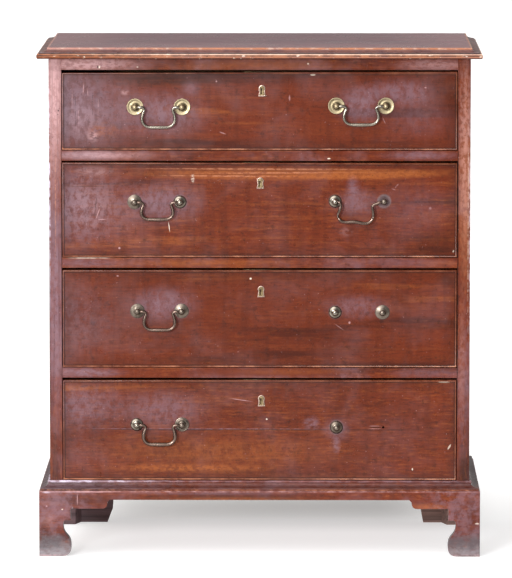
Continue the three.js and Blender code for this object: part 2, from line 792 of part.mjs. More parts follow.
// Where a handle's middle and posts are, in its drawer's frame.
function handlePlace(drawer, handle) {
  const hand = handle.word === 'left' ? -1 : 1;
  const spacing = POST_SPACING * handle.spacingShare;
  return {
    hand,
    spacing,
    x: hand * HANDLE_OUT * handle.outShare,
    z: FRONT_LIFT + (frontTop(drawer) - FRONT_LIFT) * handle.heightShare,
  };
}

const handlesOf = (drawer) => handles.filter((handle) => handle.drawer === drawer.number);

function postPlaces(drawer) {
  return handlesOf(drawer).flatMap((handle) => {
    const { x, z, spacing } = handlePlace(drawer, handle);
    return [
      { x: x - spacing / 2, z },
      { x: x + spacing / 2, z },
    ];
  });
}

// A rose's section from its rim to the post: shares of its radius and of its height.
const roses = {
  dished: {
    radius: DISHED_ROSE_RADIUS,
    height: DISHED_ROSE_HEIGHT,
    shares: [[1, 0], [1, 0.3], [0.8, 0.62], [0.5, 0.4], [0.3, 1]],
  },
  domed: {
    radius: DOMED_ROSE_RADIUS,
    height: DOMED_ROSE_HEIGHT,
    shares: [[1, 0], [0.98, 0.15], [0.84, 0.52], [0.62, 0.8], [0.36, 0.96]],
  },
  flat: {
    radius: FLAT_ROSE_RADIUS,
    height: FLAT_ROSE_HEIGHT,
    shares: [[1, 0], [0.99, 0.2], [0.9, 0.4], [0.55, 0.75], [0.34, 1]],
  },
  ringed: {
    radius: FLAT_ROSE_RADIUS,
    height: FLAT_ROSE_HEIGHT,
    shares: [[1, 0], [1, 0.25], [0.88, 0.55], [0.8, 0.35], [0.66, 0.75], [0.58, 0.55], [0.36, 1]],
  },
  bare: { radius: POST_NECK_RADIUS, height: 0, shares: [[1, 0]] },
};

// A post turned in one piece with its rose, with its shank through the front and the nut inside.
// Its axis is +Y here, out of the drawer, and the bail's pin enters from the given hand.
function post(kind, pinHand) {
  const rose = roses[kind];
  const profile = [
    [0, -FRONT_THICKNESS - NUT_THICKNESS - SHANK_SPARE],
    [SHANK_RADIUS, -FRONT_THICKNESS - NUT_THICKNESS - SHANK_SPARE],
    [SHANK_RADIUS, -FRONT_THICKNESS - NUT_THICKNESS],
    [NUT_RADIUS, -FRONT_THICKNESS - NUT_THICKNESS],
    [NUT_RADIUS, -FRONT_THICKNESS],
    [SHANK_RADIUS, -FRONT_THICKNESS],
    [SHANK_RADIUS, 0],
    ...rose.shares.map(([out, up]) => [rose.radius * out, rose.height * up]),
  ];
  const neckAngle = Math.asin(POST_NECK_RADIUS / BALL_RADIUS);
  const ballSteps = 5;
  profile.push([POST_NECK_RADIUS, rose.height]);
  for (let i = 0; i < ballSteps; i += 1) {
    const angle = neckAngle + ((Math.PI - neckAngle) * i) / ballSteps;
    profile.push([BALL_RADIUS * Math.sin(angle), PIVOT_OUT - BALL_RADIUS * Math.cos(angle)]);
  }
  profile.push([0, PIVOT_OUT + BALL_RADIUS]);
  const points = profile.map(([r, a]) => new THREE.Vector2(r, a));
  const turned = new THREE.LatheGeometry(points, ROUND_SIDES);

  const holeRadius = WIRE_RADIUS + PIN_CLEARANCE;
  const holeLength = PIN_HOLE_DEPTH + OVERRUN;
  const hole = new THREE.CylinderGeometry(holeRadius, holeRadius, holeLength, HOLE_SIDES);
  hole.rotateZ(Math.PI / 2);
  hole.translate(pinHand * (BALL_RADIUS - PIN_HOLE_DEPTH + holeLength / 2), PIVOT_OUT, 0);
  return cutFrom(turned, [hole]);
}

// A round wire along a path, its radius scaled by a share that goes with the way along it, 0 to 1.
function wire(path, radius, shareAt) {
  const section = new THREE.Shape();
  section.absarc(0, 0, radius, 0, Math.PI * 2, false);
  const geometry = new THREE.ExtrudeGeometry(section, {
    steps: WIRE_STEPS,
    curveSegments: WIRE_SIDES / 2,
    extrudePath: path,
  });
  const centres = path.getSpacedPoints(WIRE_STEPS);
  const ways = centres.map((_, i) => path.getTangentAt(i / WIRE_STEPS));
  const corners = geometry.getAttribute('position');
  const corner = new THREE.Vector3();
  const offset = new THREE.Vector3();
  for (let i = 0; i < corners.count; i += 1) {
    corner.fromBufferAttribute(corners, i);
    const misfits = centres.map((centre, k) => {
      offset.subVectors(corner, centre);
      return Math.abs(offset.dot(ways[k])) + Math.abs(offset.length() - radius);
    });
    const ring = misfits.indexOf(Math.min(...misfits));
    offset.subVectors(corner, centres[ring]).multiplyScalar(shareAt(ring / WIRE_STEPS));
    corner.copy(centres[ring]).add(offset);
    corners.setXYZ(i, corner.x, corner.y, corner.z);
  }
  return geometry;
}

// A bail hanging from its pins, with the middle of its pins at the origin. The wire is stout between
// its necks and swells at the middle of the grip, and its pins are plain.
function bail(handle, spacing) {
  const drop = BAIL_DROP * handle.dropShare;
  const holeFoot = BALL_RADIUS - PIN_HOLE_DEPTH;
  const pinEnd = spacing / 2 - holeFoot - PIN_SHORT;
  const pinRoot = spacing / 2 - BALL_RADIUS - PIN_SHORT;
  const bend = handle.bail.map(([x, z]) => [(x - 1 / 2) * spacing, -z * drop]);
  const points = [[-pinEnd, 0], [-pinRoot, 0], ...bend, [pinRoot, 0], [pinEnd, 0]];
  const path = new THREE.CatmullRomCurve3(points.map(([x, z]) => new THREE.Vector3(x, 0, z)));
  path.curveType = 'centripetal';
  const pinShare = 0.12;
  const gripShare = 0.12;
  const swellShare = 0.4;
  return wire(path, WIRE_RADIUS, (way) => {
    const fromEnd = Math.min(way, 1 - way);
    const stout = THREE.MathUtils.smoothstep(fromEnd, pinShare, pinShare * 2);
    const grip = Math.exp(-(((way - 1 / 2) / gripShare) ** 2));
    return 1 + (handle.wireShare - 1) * stout + swellShare * grip;
  });
}

// A drawer's bails, posts and roses, in the drawer's own frame.
function buildHandles(drawer) {
  const group = new THREE.Group();
  group.position.set(0, FRONT, drawer.floor);
  for (const handle of handlesOf(drawer)) {
    const { x, z, hand, spacing } = handlePlace(drawer, handle);
    const name = `${drawer.number}_${handle.word}`;
    for (const [place, kind] of [['outer', handle.outer], ['inner', handle.inner]]) {
      if (kind) {
        const outward = place === 'outer' ? hand : -hand;
        const piece = mesh(`post_${name}_${place}`, post(kind, -outward), handle.brass);
        piece.position.set(x + (outward * spacing) / 2, 0, z);
        piece.rotation.x = Math.PI;
        group.add(piece);
      }
    }
    if (handle.bail) {
      const piece = mesh(`bail_${name}`, bail(handle, spacing), handle.brass);
      piece.position.set(x, -PIVOT_OUT, z);
      group.add(piece);
    }
  }
  return group;
}

// The whole chest

const chest = new THREE.Group();
chest.name = 'chest_of_drawers';
chest.add(buildTop(), buildCase(), buildBaseMoulding(), buildPlinth(), buildRearBrackets());
for (const drawer of drawers) {
  chest.add(buildDrawer(drawer), buildHandles(drawer));
}

export default chest;
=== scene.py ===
"""A mahogany chest of four long drawers with brass bail handles, finished over its CAD frame."""

import json
import math
from collections import namedtuple

import bmesh
import bpy
from mathutils import Matrix, Vector

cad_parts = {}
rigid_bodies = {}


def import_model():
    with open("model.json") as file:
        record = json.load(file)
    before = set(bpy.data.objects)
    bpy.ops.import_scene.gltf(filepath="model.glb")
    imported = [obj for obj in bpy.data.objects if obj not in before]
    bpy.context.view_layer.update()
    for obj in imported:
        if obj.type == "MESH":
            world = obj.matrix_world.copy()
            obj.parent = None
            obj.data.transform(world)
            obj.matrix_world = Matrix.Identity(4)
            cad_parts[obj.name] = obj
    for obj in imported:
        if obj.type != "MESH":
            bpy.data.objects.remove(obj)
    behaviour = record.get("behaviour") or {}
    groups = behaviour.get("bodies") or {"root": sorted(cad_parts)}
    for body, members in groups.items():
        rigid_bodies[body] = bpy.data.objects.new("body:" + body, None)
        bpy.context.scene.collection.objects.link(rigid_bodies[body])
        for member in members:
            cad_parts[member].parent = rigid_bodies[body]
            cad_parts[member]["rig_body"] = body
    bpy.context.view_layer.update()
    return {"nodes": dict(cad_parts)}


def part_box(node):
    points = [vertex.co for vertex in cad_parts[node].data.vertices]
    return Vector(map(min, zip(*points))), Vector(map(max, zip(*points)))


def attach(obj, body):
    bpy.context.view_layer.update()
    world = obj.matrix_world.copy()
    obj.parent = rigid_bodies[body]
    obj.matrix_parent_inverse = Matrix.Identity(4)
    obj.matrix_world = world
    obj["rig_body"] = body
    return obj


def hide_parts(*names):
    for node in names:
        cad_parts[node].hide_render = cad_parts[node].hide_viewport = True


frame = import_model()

bl_info = {
    "name": "Chest of Four Long Drawers",
    "version": (1, 0, 0),
    "blender": (4, 5, 0),
    "location": "View3D > Sidebar > Chest",
    "description": "Finishes a mahogany chest of drawers, its brass and its stage",
    "category": "Object",
}

MM = 0.001
WELD = 0.02 * MM
FLAT = math.radians(1)
CREASE = math.radians(32)
DRAWERS = (1, 2, 3, 4)
HANDS = ("left", "right")


# Colours


def linear(code):
    """An sRGB hex colour as Blender's linear red, green and blue."""
    channels = [int(code[i : i + 2], 16) / 255 for i in (1, 3, 5)]
    return tuple(c / 12.92 if c <= 0.04045 else ((c + 0.055) / 1.055) ** 2.4 for c in channels)


def colour(name, description, code):
    """A colour that a user can change."""
    return bpy.props.FloatVectorProperty(
        name=name, description=description, default=linear(code), subtype="COLOR", size=3, min=0, max=1
    )


def length(name, description, default):
    """A length that a user can change, in metres."""
    return bpy.props.FloatProperty(
        name=name, description=description, default=default, min=0, unit="LENGTH", precision=5
    )


def strength(name, description, default):
    """A number that a user can change."""
    return bpy.props.FloatProperty(name=name, description=description, default=default, min=0)


# What a user can change


class WoodFinish(bpy.types.PropertyGroup):
    """The colours of the chest's woods and of what age has left on them."""

    deep: colour("Deep mahogany", "The dark of the mahogany's grain", "#451607")
    middle: colour("Middle mahogany", "The ground colour of the polished mahogany", "#64250d")
    streak: colour("Mahogany streak", "The orange of the lighter streaks", "#944e22")
    # Real bloom, and also a painted sheen of the light from the left: on the left ends of the fronts, the
    # rails and the left stile, round the handles, on the top and on the base's bead.
    bloom: colour("Bloom", "The violet grey haze on old polish", "#826670")
    # Also laid on as a painted sheen at the left ends of the fronts, the rails and the left stile, and as
    # painted highlights along the base's bead and the plinth's top arris.
    pale: colour("Pale bloom", "The pink haze where the polish has dried", "#bf9291")
    worn: colour("Worn edge", "Bare wood where edges have rubbed", "#b9795a")
    chip: colour("Fresh chip", "Pale wood in chips and dents", "#ead6c2")
    # Also laid on as painted shade: in the top's and the base's coves, in the gaps beside the drawers and
    # inside the plinth boards.
    grime: colour("Grime", "Dirt in corners and quirks", "#1e0d08")
    gleam: colour("Gleam", "Pale lavender where mouldings catch the light", "#d9cbdc")
    # Also laid on as painted shade in the base moulding's cove.
    soot: colour("Soot", "The blue black of the base's hollows", "#2a1f21")
    toe: colour("Dry toe", "Grey unpolished wood at the floor", "#857d80")
    shade: colour("Left bracket", "The darker of the rear brackets", "#5c484a")
    dust: colour("Right bracket", "The dustier of the rear brackets", "#8a6d64")
    pine: colour("Pine", "The softwood of the back and the drawer bottoms", "#a07b60")
    oak: colour("Oak", "The drawer sides and backs", "#9c7656")


class BrassFinish(bpy.types.PropertyGroup):
    """The colours of the brass and the iron."""

    bright: colour("Bright brass", "Brass that hands have kept clean", "#ad9b7b")
    dull: colour("Dull brass", "Brown tarnished brass", "#8a7c70")
    # Also laid on as painted shade on the posts, the bails and the keyhole threads.
    tarnish: colour("Tarnish", "The dark of the tarnish", "#2f2619")
    pink: colour("Pinkish brass", "The linings of the keyholes", "#dcbcaa")
    olive: colour("Olive brass", "The faces of the locks", "#8f7b5b")
    aged: colour("Aged brass", "The grey brown of the later bails", "#806a60")
    silvered: colour("Silvery brass", "Domed roses with a hard polish", "#a69b8d")
    iron: colour("Iron", "The lock cases and the nails", "#4b423c")
    rust: colour("Rust", "Brown rust in the iron's pits", "#5a3526")


class FittingSizes(bpy.types.PropertyGroup):
    """The sizes of the small fittings and of the eased edges."""

    arris: length("Arris", "How far a board's edges are eased", 0.5 * MM)
    bead_round: length("Bead round", "How far the cockbead is rounded", 1.3 * MM)
    thread_width: length("Thread width", "The brass lining of a keyhole, across its line", 2.2 * MM)
    thread_proud: length("Thread proud", "How far the brass lining stands out", 0.4 * MM)
    lock_depth: length("Lock depth", "How far in the lock's face lies", 2 * MM)
    lock_width: length("Lock width", "The lock case inside a drawer", 74 * MM)
    lock_height: length("Lock height", "The lock case inside a drawer", 46 * MM)
    nail_radius: length("Nail radius", "The nails of the back", 3 * MM)
    board_gap: length("Board gap", "Between the boards of the back", 1.2 * MM)


class StageSettings(bpy.types.PropertyGroup):
    """The floor, the lights and the camera."""

    floor: colour("Floor", "The pale floor", "#cfcecd")
    sky: strength("Sky", "Light from above", 3.8)
    room: strength("Room", "Light from the dim sides", 0.35)
    key: strength("Key light", "Watts of the large light", 290)
    glow: strength("Floor glow", "Light through the floor", 0.62)
    lens: strength("Lens", "Focal length in millimetres", 343.5)


# Meshes


def link(name, data):
    """A new object at the origin for a mesh, a curve, a lamp or a camera."""
    obj = bpy.data.objects.new(name, data)
    bpy.context.scene.collection.objects.link(obj)
    return obj


def finished(name, bm, material, body, smooth=CREASE):
    """A piece from a bmesh, with its finish, riding on its body."""
    bm.normal_update()
    for face in bm.faces:
        face.smooth = True
    for edge in bm.edges:
        edge.smooth = edge.calc_face_angle(0) < smooth
    mesh = bpy.data.meshes.new(name)
    bm.to_mesh(mesh)
    bm.free()
    mesh.materials.append(material)
    obj = link(name, mesh)
    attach(obj, body)
    return obj


def stand_in(node, ending, bm, material, smooth=CREASE):
    """A finished piece that takes the place of a CAD node, on its body."""
    piece = finished(f"{node}_{ending}", bm, material, frame["nodes"][node]["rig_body"], smooth)
    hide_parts(node)
    return piece


def merged(node):
    """A CAD node's mesh with its corners merged and its flat faces joined."""
    bm = bmesh.new()
    bm.from_mesh(frame["nodes"][node].data)
    bmesh.ops.remove_doubles(bm, verts=bm.verts, dist=WELD)
    bmesh.ops.dissolve_degenerate(bm, edges=bm.edges, dist=WELD)
    bmesh.ops.dissolve_limit(bm, angle_limit=FLAT, verts=bm.verts, edges=bm.edges)
    bmesh.ops.dissolve_degenerate(bm, edges=bm.edges, dist=WELD)
    return bm


def ease(obj, width):
    """Rounds the sharp edges of a board a little."""
    bevel = obj.modifiers.new("Eased edges", "BEVEL")
    bevel.width = width
    bevel.segments = 2
    bevel.limit_method = "ANGLE"
    bevel.angle_limit = math.radians(50)
    bevel.miter_outer = "MITER_ARC"


def dressed(node, material, width=None):
    """A CAD board with its finish and eased edges."""
    sizes = bpy.context.scene.chest_fittings
    ease(stand_in(node, "finished", merged(node), material), sizes.arris if width is None else width)


def block(bm, low, high):
    """Adds a box between two corners."""
    low, high = Vector(low), Vector(high)
    place = Matrix.Translation((low + high) / 2) @ Matrix.Diagonal((*(high - low), 1))
    bmesh.ops.create_cube(bm, size=1, matrix=place)


def stud(bm, middle, turn, axis, segments, radii, depth):
    """Adds a round bar or a cone about its middle, turned from upright about an axis."""
    place = Matrix.Translation(middle) @ Matrix.Rotation(turn, 4, axis)
    bmesh.ops.create_cone(
        bm, cap_ends=True, segments=segments, radius1=radii[0], radius2=radii[1], depth=depth, matrix=place
    )


def round_edges(bm, edges, width, segments=2):
    """Bevels some edges of a bmesh."""
    bmesh.ops.bevel(
        bm, geom=edges, offset=width, segments=segments, profile=0.5, affect="EDGES", material=-1
    )


def turned(bm, profile, steps, centre):
    """Spins a section about an axis along Y. The section is pairs of a radius and a place outward."""
    rim = [bm.verts.new((radius, -out, 0)) for radius, out in profile]
    edges = [bm.edges.new(pair) for pair in zip(rim, rim[1:])]
    bmesh.ops.spin(
        bm, geom=rim + edges, cent=(0, 0, 0), axis=(0, 1, 0), dvec=(0, 0, 0),
        angle=2 * math.pi, steps=steps, use_merge=True, use_duplicate=False,
    )
    bmesh.ops.remove_doubles(bm, verts=bm.verts, dist=WELD)
    bmesh.ops.recalc_face_normals(bm, faces=bm.faces)
    bmesh.ops.translate(bm, verts=bm.verts, vec=centre)


def centre_of(node):
    """The middle of a CAD node's box."""
    low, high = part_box(node)
    return (low + high) / 2


# Materials

# The kinds of node in use, each as its type and its settings.
PLACE = ("ShaderNodeTexCoord", {})
AXES = ("ShaderNodeSeparateXYZ", {})
SCALED = ("ShaderNodeMapping", {})
SPOT = ("ShaderNodeMapping", {"vector_type": "TEXTURE"})
NOISE = ("ShaderNodeTexNoise", {})
HELD = ("ShaderNodeAttribute", {"attribute_name": "hollow"})
STRETCH = ("ShaderNodeVectorMath", {"operation": "SCALE"})
SHIFT = ("ShaderNodeVectorMath", {"operation": "ADD"})
FACING = ("ShaderNodeVectorMath", {"operation": "DOT_PRODUCT"})
DISTANCE = ("ShaderNodeVectorMath", {"operation": "LENGTH"})
TIMES = ("ShaderNodeMath", {"operation": "MULTIPLY"})
PLUS = ("ShaderNodeMath", {"operation": "ADD"})
LESS = ("ShaderNodeMath", {"operation": "SUBTRACT"})
LEAST = ("ShaderNodeMath", {"operation": "MINIMUM"})
SIZE = ("ShaderNodeMath", {"operation": "ABSOLUTE"})
# A smooth step from a start to an end, and from 0 to 1 unless two more values are given.
FADE = ("ShaderNodeMapRange", {"interpolation_type": "SMOOTHSTEP"})
MIX = ("ShaderNodeMix", {"data_type": "RGBA"})
BUMP = ("ShaderNodeBump", {})


def feed(tree, socket, value):
    """Links or sets an input. A value that starts with a kind of node is such a node, added first."""
    if isinstance(value, tuple) and isinstance(value[0], tuple):
        value = add(tree, *value)
    if isinstance(value, bpy.types.NodeSocket):
        tree.links.new(value, socket)
    else:
        socket.default_value = (*value, 1) if socket.type == "RGBA" else value


def add(tree, kind, *values, take=None):
    """One node with its settings, its values and links in the order of its inputs, and its output."""
    name, settings = kind
    node = tree.nodes.new(name)
    for setting, value in settings.items():
        setattr(node, setting, value)
    for socket, value in zip([socket for socket in node.inputs if socket.enabled], values):
        feed(tree, socket, value)
    return node.outputs[take] if take else next(out for out in node.outputs if out.enabled)


def set_inputs(tree, node, values):
    """Feeds a node's inputs by their names."""
    for name, value in values.items():
        feed(tree, node.inputs[name], value)


def surface(name):
    """A material with only its shader, its tree and the place on the object."""
    material = bpy.data.materials.new(name)
    material.use_nodes = True
    tree = material.node_tree
    return material, tree, tree.nodes["Principled BSDF"], add(tree, PLACE, take="Object")


def cloud(tree, place, scale, detail, roughness=0.55, distortion=0.0):
    """A noise with its own number of spots to the metre, along all axes alike or along each."""
    scales = scale if isinstance(scale, tuple) else (scale, scale, scale)
    spread = (SCALED, place, (0, 0, 0), (0, 0, 0), scales)
    return add(tree, NOISE, spread, 1.0, detail, roughness, 2.0, distortion)


def coated(tree, base, *coats):
    """The base colour with tints laid over it, each by its factors."""
    for tint, *factors in coats:
        share = factors[0]
        for factor in factors[1:]:
            share = (TIMES, share, factor)
        base = add(tree, MIX, share, base, tint)
    return base


def ridge(tree, value, start, full, fall, end):
    """Full between two values of a measure and fading to nothing at a start and an end, all in mm."""
    rise = (FADE, value, start * MM, full * MM)
    return add(tree, TIMES, rise, (FADE, value, end * MM, fall * MM))


# A mark on the front: what it is tinted with, where its middle is from the chest's middle and above
# the floor, its half sizes, how strong it is, how broken up, how soft its edge is and its turn.
# Sizes are in millimetres and the turn is in degrees.
Mark = namedtuple("Mark", "tint x z wide high strength broken soft turn", defaults=(0, None, 0))
# Marks larger than this half size in millimetres are broken up by blotches, and the others by flecks.
LARGE_MARK = 32
# Marks smaller than this half size are lines and dots. Unless a mark gives its own softness, those
# have the first of these and the larger ones the second.
LINE_MARK = 3
SOFTNESS = (0.6, 0.9)


def mark_share(tree, place, rough, blotches, mark):
    """Where a mark lies, as a soft ellipse on the front, broken up by a noise."""
    middle = (mark.x * MM, 0, mark.z * MM)
    sizes = (mark.wide * MM, 1000, mark.high * MM)
    smallest = min(mark.wide, mark.high)
    soft = SOFTNESS[smallest >= LINE_MARK] if mark.soft is None else mark.soft
    away = add(tree, DISTANCE, (SPOT, place, middle, (0, math.radians(mark.turn), 0), sizes), take="Value")
    within = add(tree, FADE, away, 1, 1 - soft, 0, mark.strength)
    if not mark.broken:
        return within
    broken_by = (blotches, 0.38, 0.6) if smallest > LARGE_MARK else (rough, 0.4, 0.58)
    return add(tree, TIMES, within, (FADE, *broken_by, 1 - mark.broken, 1))


ALONG = {"x": (1, 0, 0), "y": (0, 1, 0), "z": (0, 0, 1)}


def grain_scale(run, along, crossways):
    """A pattern's spots to the metre, along and across the grain."""
    return tuple(along if axis else crossways for axis in ALONG[run])


def mahogany(name, run, streaks=0.35, haze=0.35, fleck=0.3, edge=None, marks=()):
    """French polished mahogany, hand planed and two and a half centuries old: red brown with orange
    streaks along the grain, short dark pores, a violet grey bloom in the polish, specks and dirt."""
    wood = bpy.context.scene.chest_wood
    material, tree, shader, place = surface(f"Polished mahogany, {name}")

    # The grain wanders by up to 10 mm over about a third of a metre.
    sway = cloud(tree, place, grain_scale(run, 2.2, 3.5), 1)
    aside = tuple(0 if axis else 0.02 for axis in ALONG[run])
    grain = add(tree, SHIFT, place, (STRETCH, aside, sway))

    # Bands of colour about 30 mm wide and half a metre long.
    bands = cloud(tree, grain, grain_scale(run, 1.9, 26), 3, 0.6)
    # Finer streaks 10 mm wide.
    streaky = cloud(tree, grain, grain_scale(run, 3.2, 95), 3, 0.65)
    # Flecks of light and dark 4 mm high and 15 to 30 mm long.
    flecks = cloud(tree, grain, grain_scale(run, 42, 270), 4, 0.65)
    # Pores 0.8 mm wide and 16 mm long.
    pores = cloud(tree, grain, grain_scale(run, 60, 1250), 1)
    # The faint cross light of stripy timber, about 15 mm a stripe.
    stripe = cloud(tree, place, grain_scale(run, 60, 5), 3, 0.6)
    base = coated(
        tree,
        (MIX, (FADE, bands, 0.45, 0.26), wood.middle, wood.deep),
        (wood.streak, (FADE, bands, 0.6, 0.84)),
        (wood.streak, (FADE, streaky, 0.5, 0.78, 0, streaks)),
        (wood.streak, (FADE, flecks, 0.52, 0.7, 0, fleck * 1.3)),
        (wood.deep, (FADE, flecks, 0.49, 0.32, 0, 0.35 + fleck)),
        (wood.grime, (FADE, pores, 0.62, 0.75, 0, 0.4)),
        (wood.deep, (FADE, stripe, 0.4, 0.7, 0, 0.35)),
    )

    # Bloom in patches of about 90 mm, a mottle of 13 mm, and blotches of 12 to 18 mm.
    patches = cloud(tree, place, 11, 5, 0.62, 0.4)
    mottle = cloud(tree, place, 75, 4, 0.65)
    blotches = cloud(tree, place, (80, 80, 55), 5, 0.74, 0.2)
    rough = cloud(tree, place, grain_scale(run, 70, 130), 4, 0.65)
    base = coated(
        tree,
        base,
        (wood.bloom, (FADE, patches, 0.42, 0.72, 0, haze), (FADE, mottle, 0.3, 0.6, 0.4)),
        (wood.grime, (FADE, mottle, 0.45, 0.28, 0, 0.4)),
    )
    if marks:
        # The marks lie on the front alone and stop a few millimetres round its corners.
        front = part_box("stile_left")[0].y
        facing = add(tree, FADE, add(tree, AXES, place, take="Y"), front + 9 * MM, front + 4 * MM)
    for mark in marks:
        share = mark_share(tree, place, rough, blotches, mark)
        base = coated(tree, base, (getattr(wood, mark.tint), share, facing))

    # Specks of old dirt and wax about 2 mm across.
    specks = cloud(tree, place, 330, 0)
    base = coated(
        tree,
        base,
        (wood.pale, (FADE, specks, 0.85, 0.89, 0, 0.3)),
        (wood.grime, (FADE, specks, 0.2, 0.15, 0, 0.5)),
    )
    if edge:
        base = edge(tree, place, base, rough)

    # Flecks and plane marks, some hundredths of a millimetre deep.
    relief = (PLUS, (TIMES, flecks, 0.5), (TIMES, cloud(tree, place, 9, 2), 1.5))
    set_inputs(tree, shader, {
        "Base Color": base,
        "Roughness": (FADE, patches, 0.35, 0.7, 0.26, 0.36),
        "IOR": 1.5,
        "Specular IOR Level": 0.26,
        "Normal": dented(relief, 0.5, 0.2),
    })
    return material


def dented(height, strength, depth):
    """The surface's normal with a height laid into it, where a height of 1 is a depth in mm."""
    smallest = 0.1
    return (BUMP, strength, depth * MM, smallest, height)


def softwood(name, tint, run, ring, aged):
    """Bare sawn softwood or oak gone brown with age: growth rings as darker bands, a dry matt face."""
    wood = bpy.context.scene.chest_wood
    material, tree, shader, place = surface(name)
    grain = cloud(tree, place, grain_scale(run, 1.6, 1 / (4 * ring)), 2)
    rings = cloud(tree, place, grain_scale(run, 2.5, 1 / ring), 2, 0.6, 0.3)
    fine = cloud(tree, place, grain_scale(run, 14, 900), 2)
    stains = cloud(tree, place, 7, 4, 0.6)
    base = coated(
        tree,
        (MIX, (FADE, rings, 0.5, 0.32), tint, tuple(c * 0.55 for c in tint)),
        (tuple(c * 1.25 for c in tint), (FADE, rings, 0.5, 0.75)),
        (wood.grime, (FADE, fine, 0.55, 0.3, 0, 0.35)),
        (wood.deep, (FADE, stains, 0.42, 0.75, 0, aged)),
        (wood.grime, (FADE, grain, 0.6, 0.8, 0, 0.3)),
    )
    set_inputs(tree, shader, {
        "Base Color": base,
        "Roughness": (FADE, rings, 0.2, 0.8, 0.62, 0.82),
        "Specular IOR Level": 0.25,
        "Normal": dented(fine, 0.5, 0.4),
    })
    return material


def brass(name, tint, tarnish, roughness):
    """Cast and turned brass: a soft metal gloss, brown in the hollows where cloths don't reach, and darkened
    by each piece's hollow attribute, which holds its tarnish and its painted shade.
    """
    metal = bpy.context.scene.chest_brass
    material, tree, shader, place = surface(name)
    film = cloud(tree, place, 160, 4, 0.65)
    patchy = (FADE, film, 0.38, 0.75, tarnish * 0.25, tarnish)
    # Each piece's tarnish and painted shade, written at its corners.
    hollow = add(tree, HELD, take="Fac")
    set_inputs(tree, shader, {
        "Base Color": coated(tree, (MIX, patchy, tint, metal.tarnish), (metal.tarnish, hollow, 0.9)),
        "Metallic": 1.0,
        "Roughness": (FADE, film, 0.3, 0.7, roughness * 0.8, roughness * 1.4),
        "Normal": dented(film, 0.4, 0.05),
    })
    return material


def old_iron(name):
    """Wrought iron, black brown and pitted, with a dull sheen."""
    metal = bpy.context.scene.chest_brass
    material, tree, shader, place = surface(name)
    pits = cloud(tree, place, 300, 4, 0.7)
    set_inputs(tree, shader, {
        "Base Color": (MIX, (FADE, pits, 0.45, 0.7, 0, 0.7), metal.iron, metal.rust),
        "Metallic": 0.6,
        "Roughness": (FADE, pits, 0.3, 0.7, 0.5, 0.75),
        "Normal": dented(pits, 0.6, 0.4),
    })
    return material
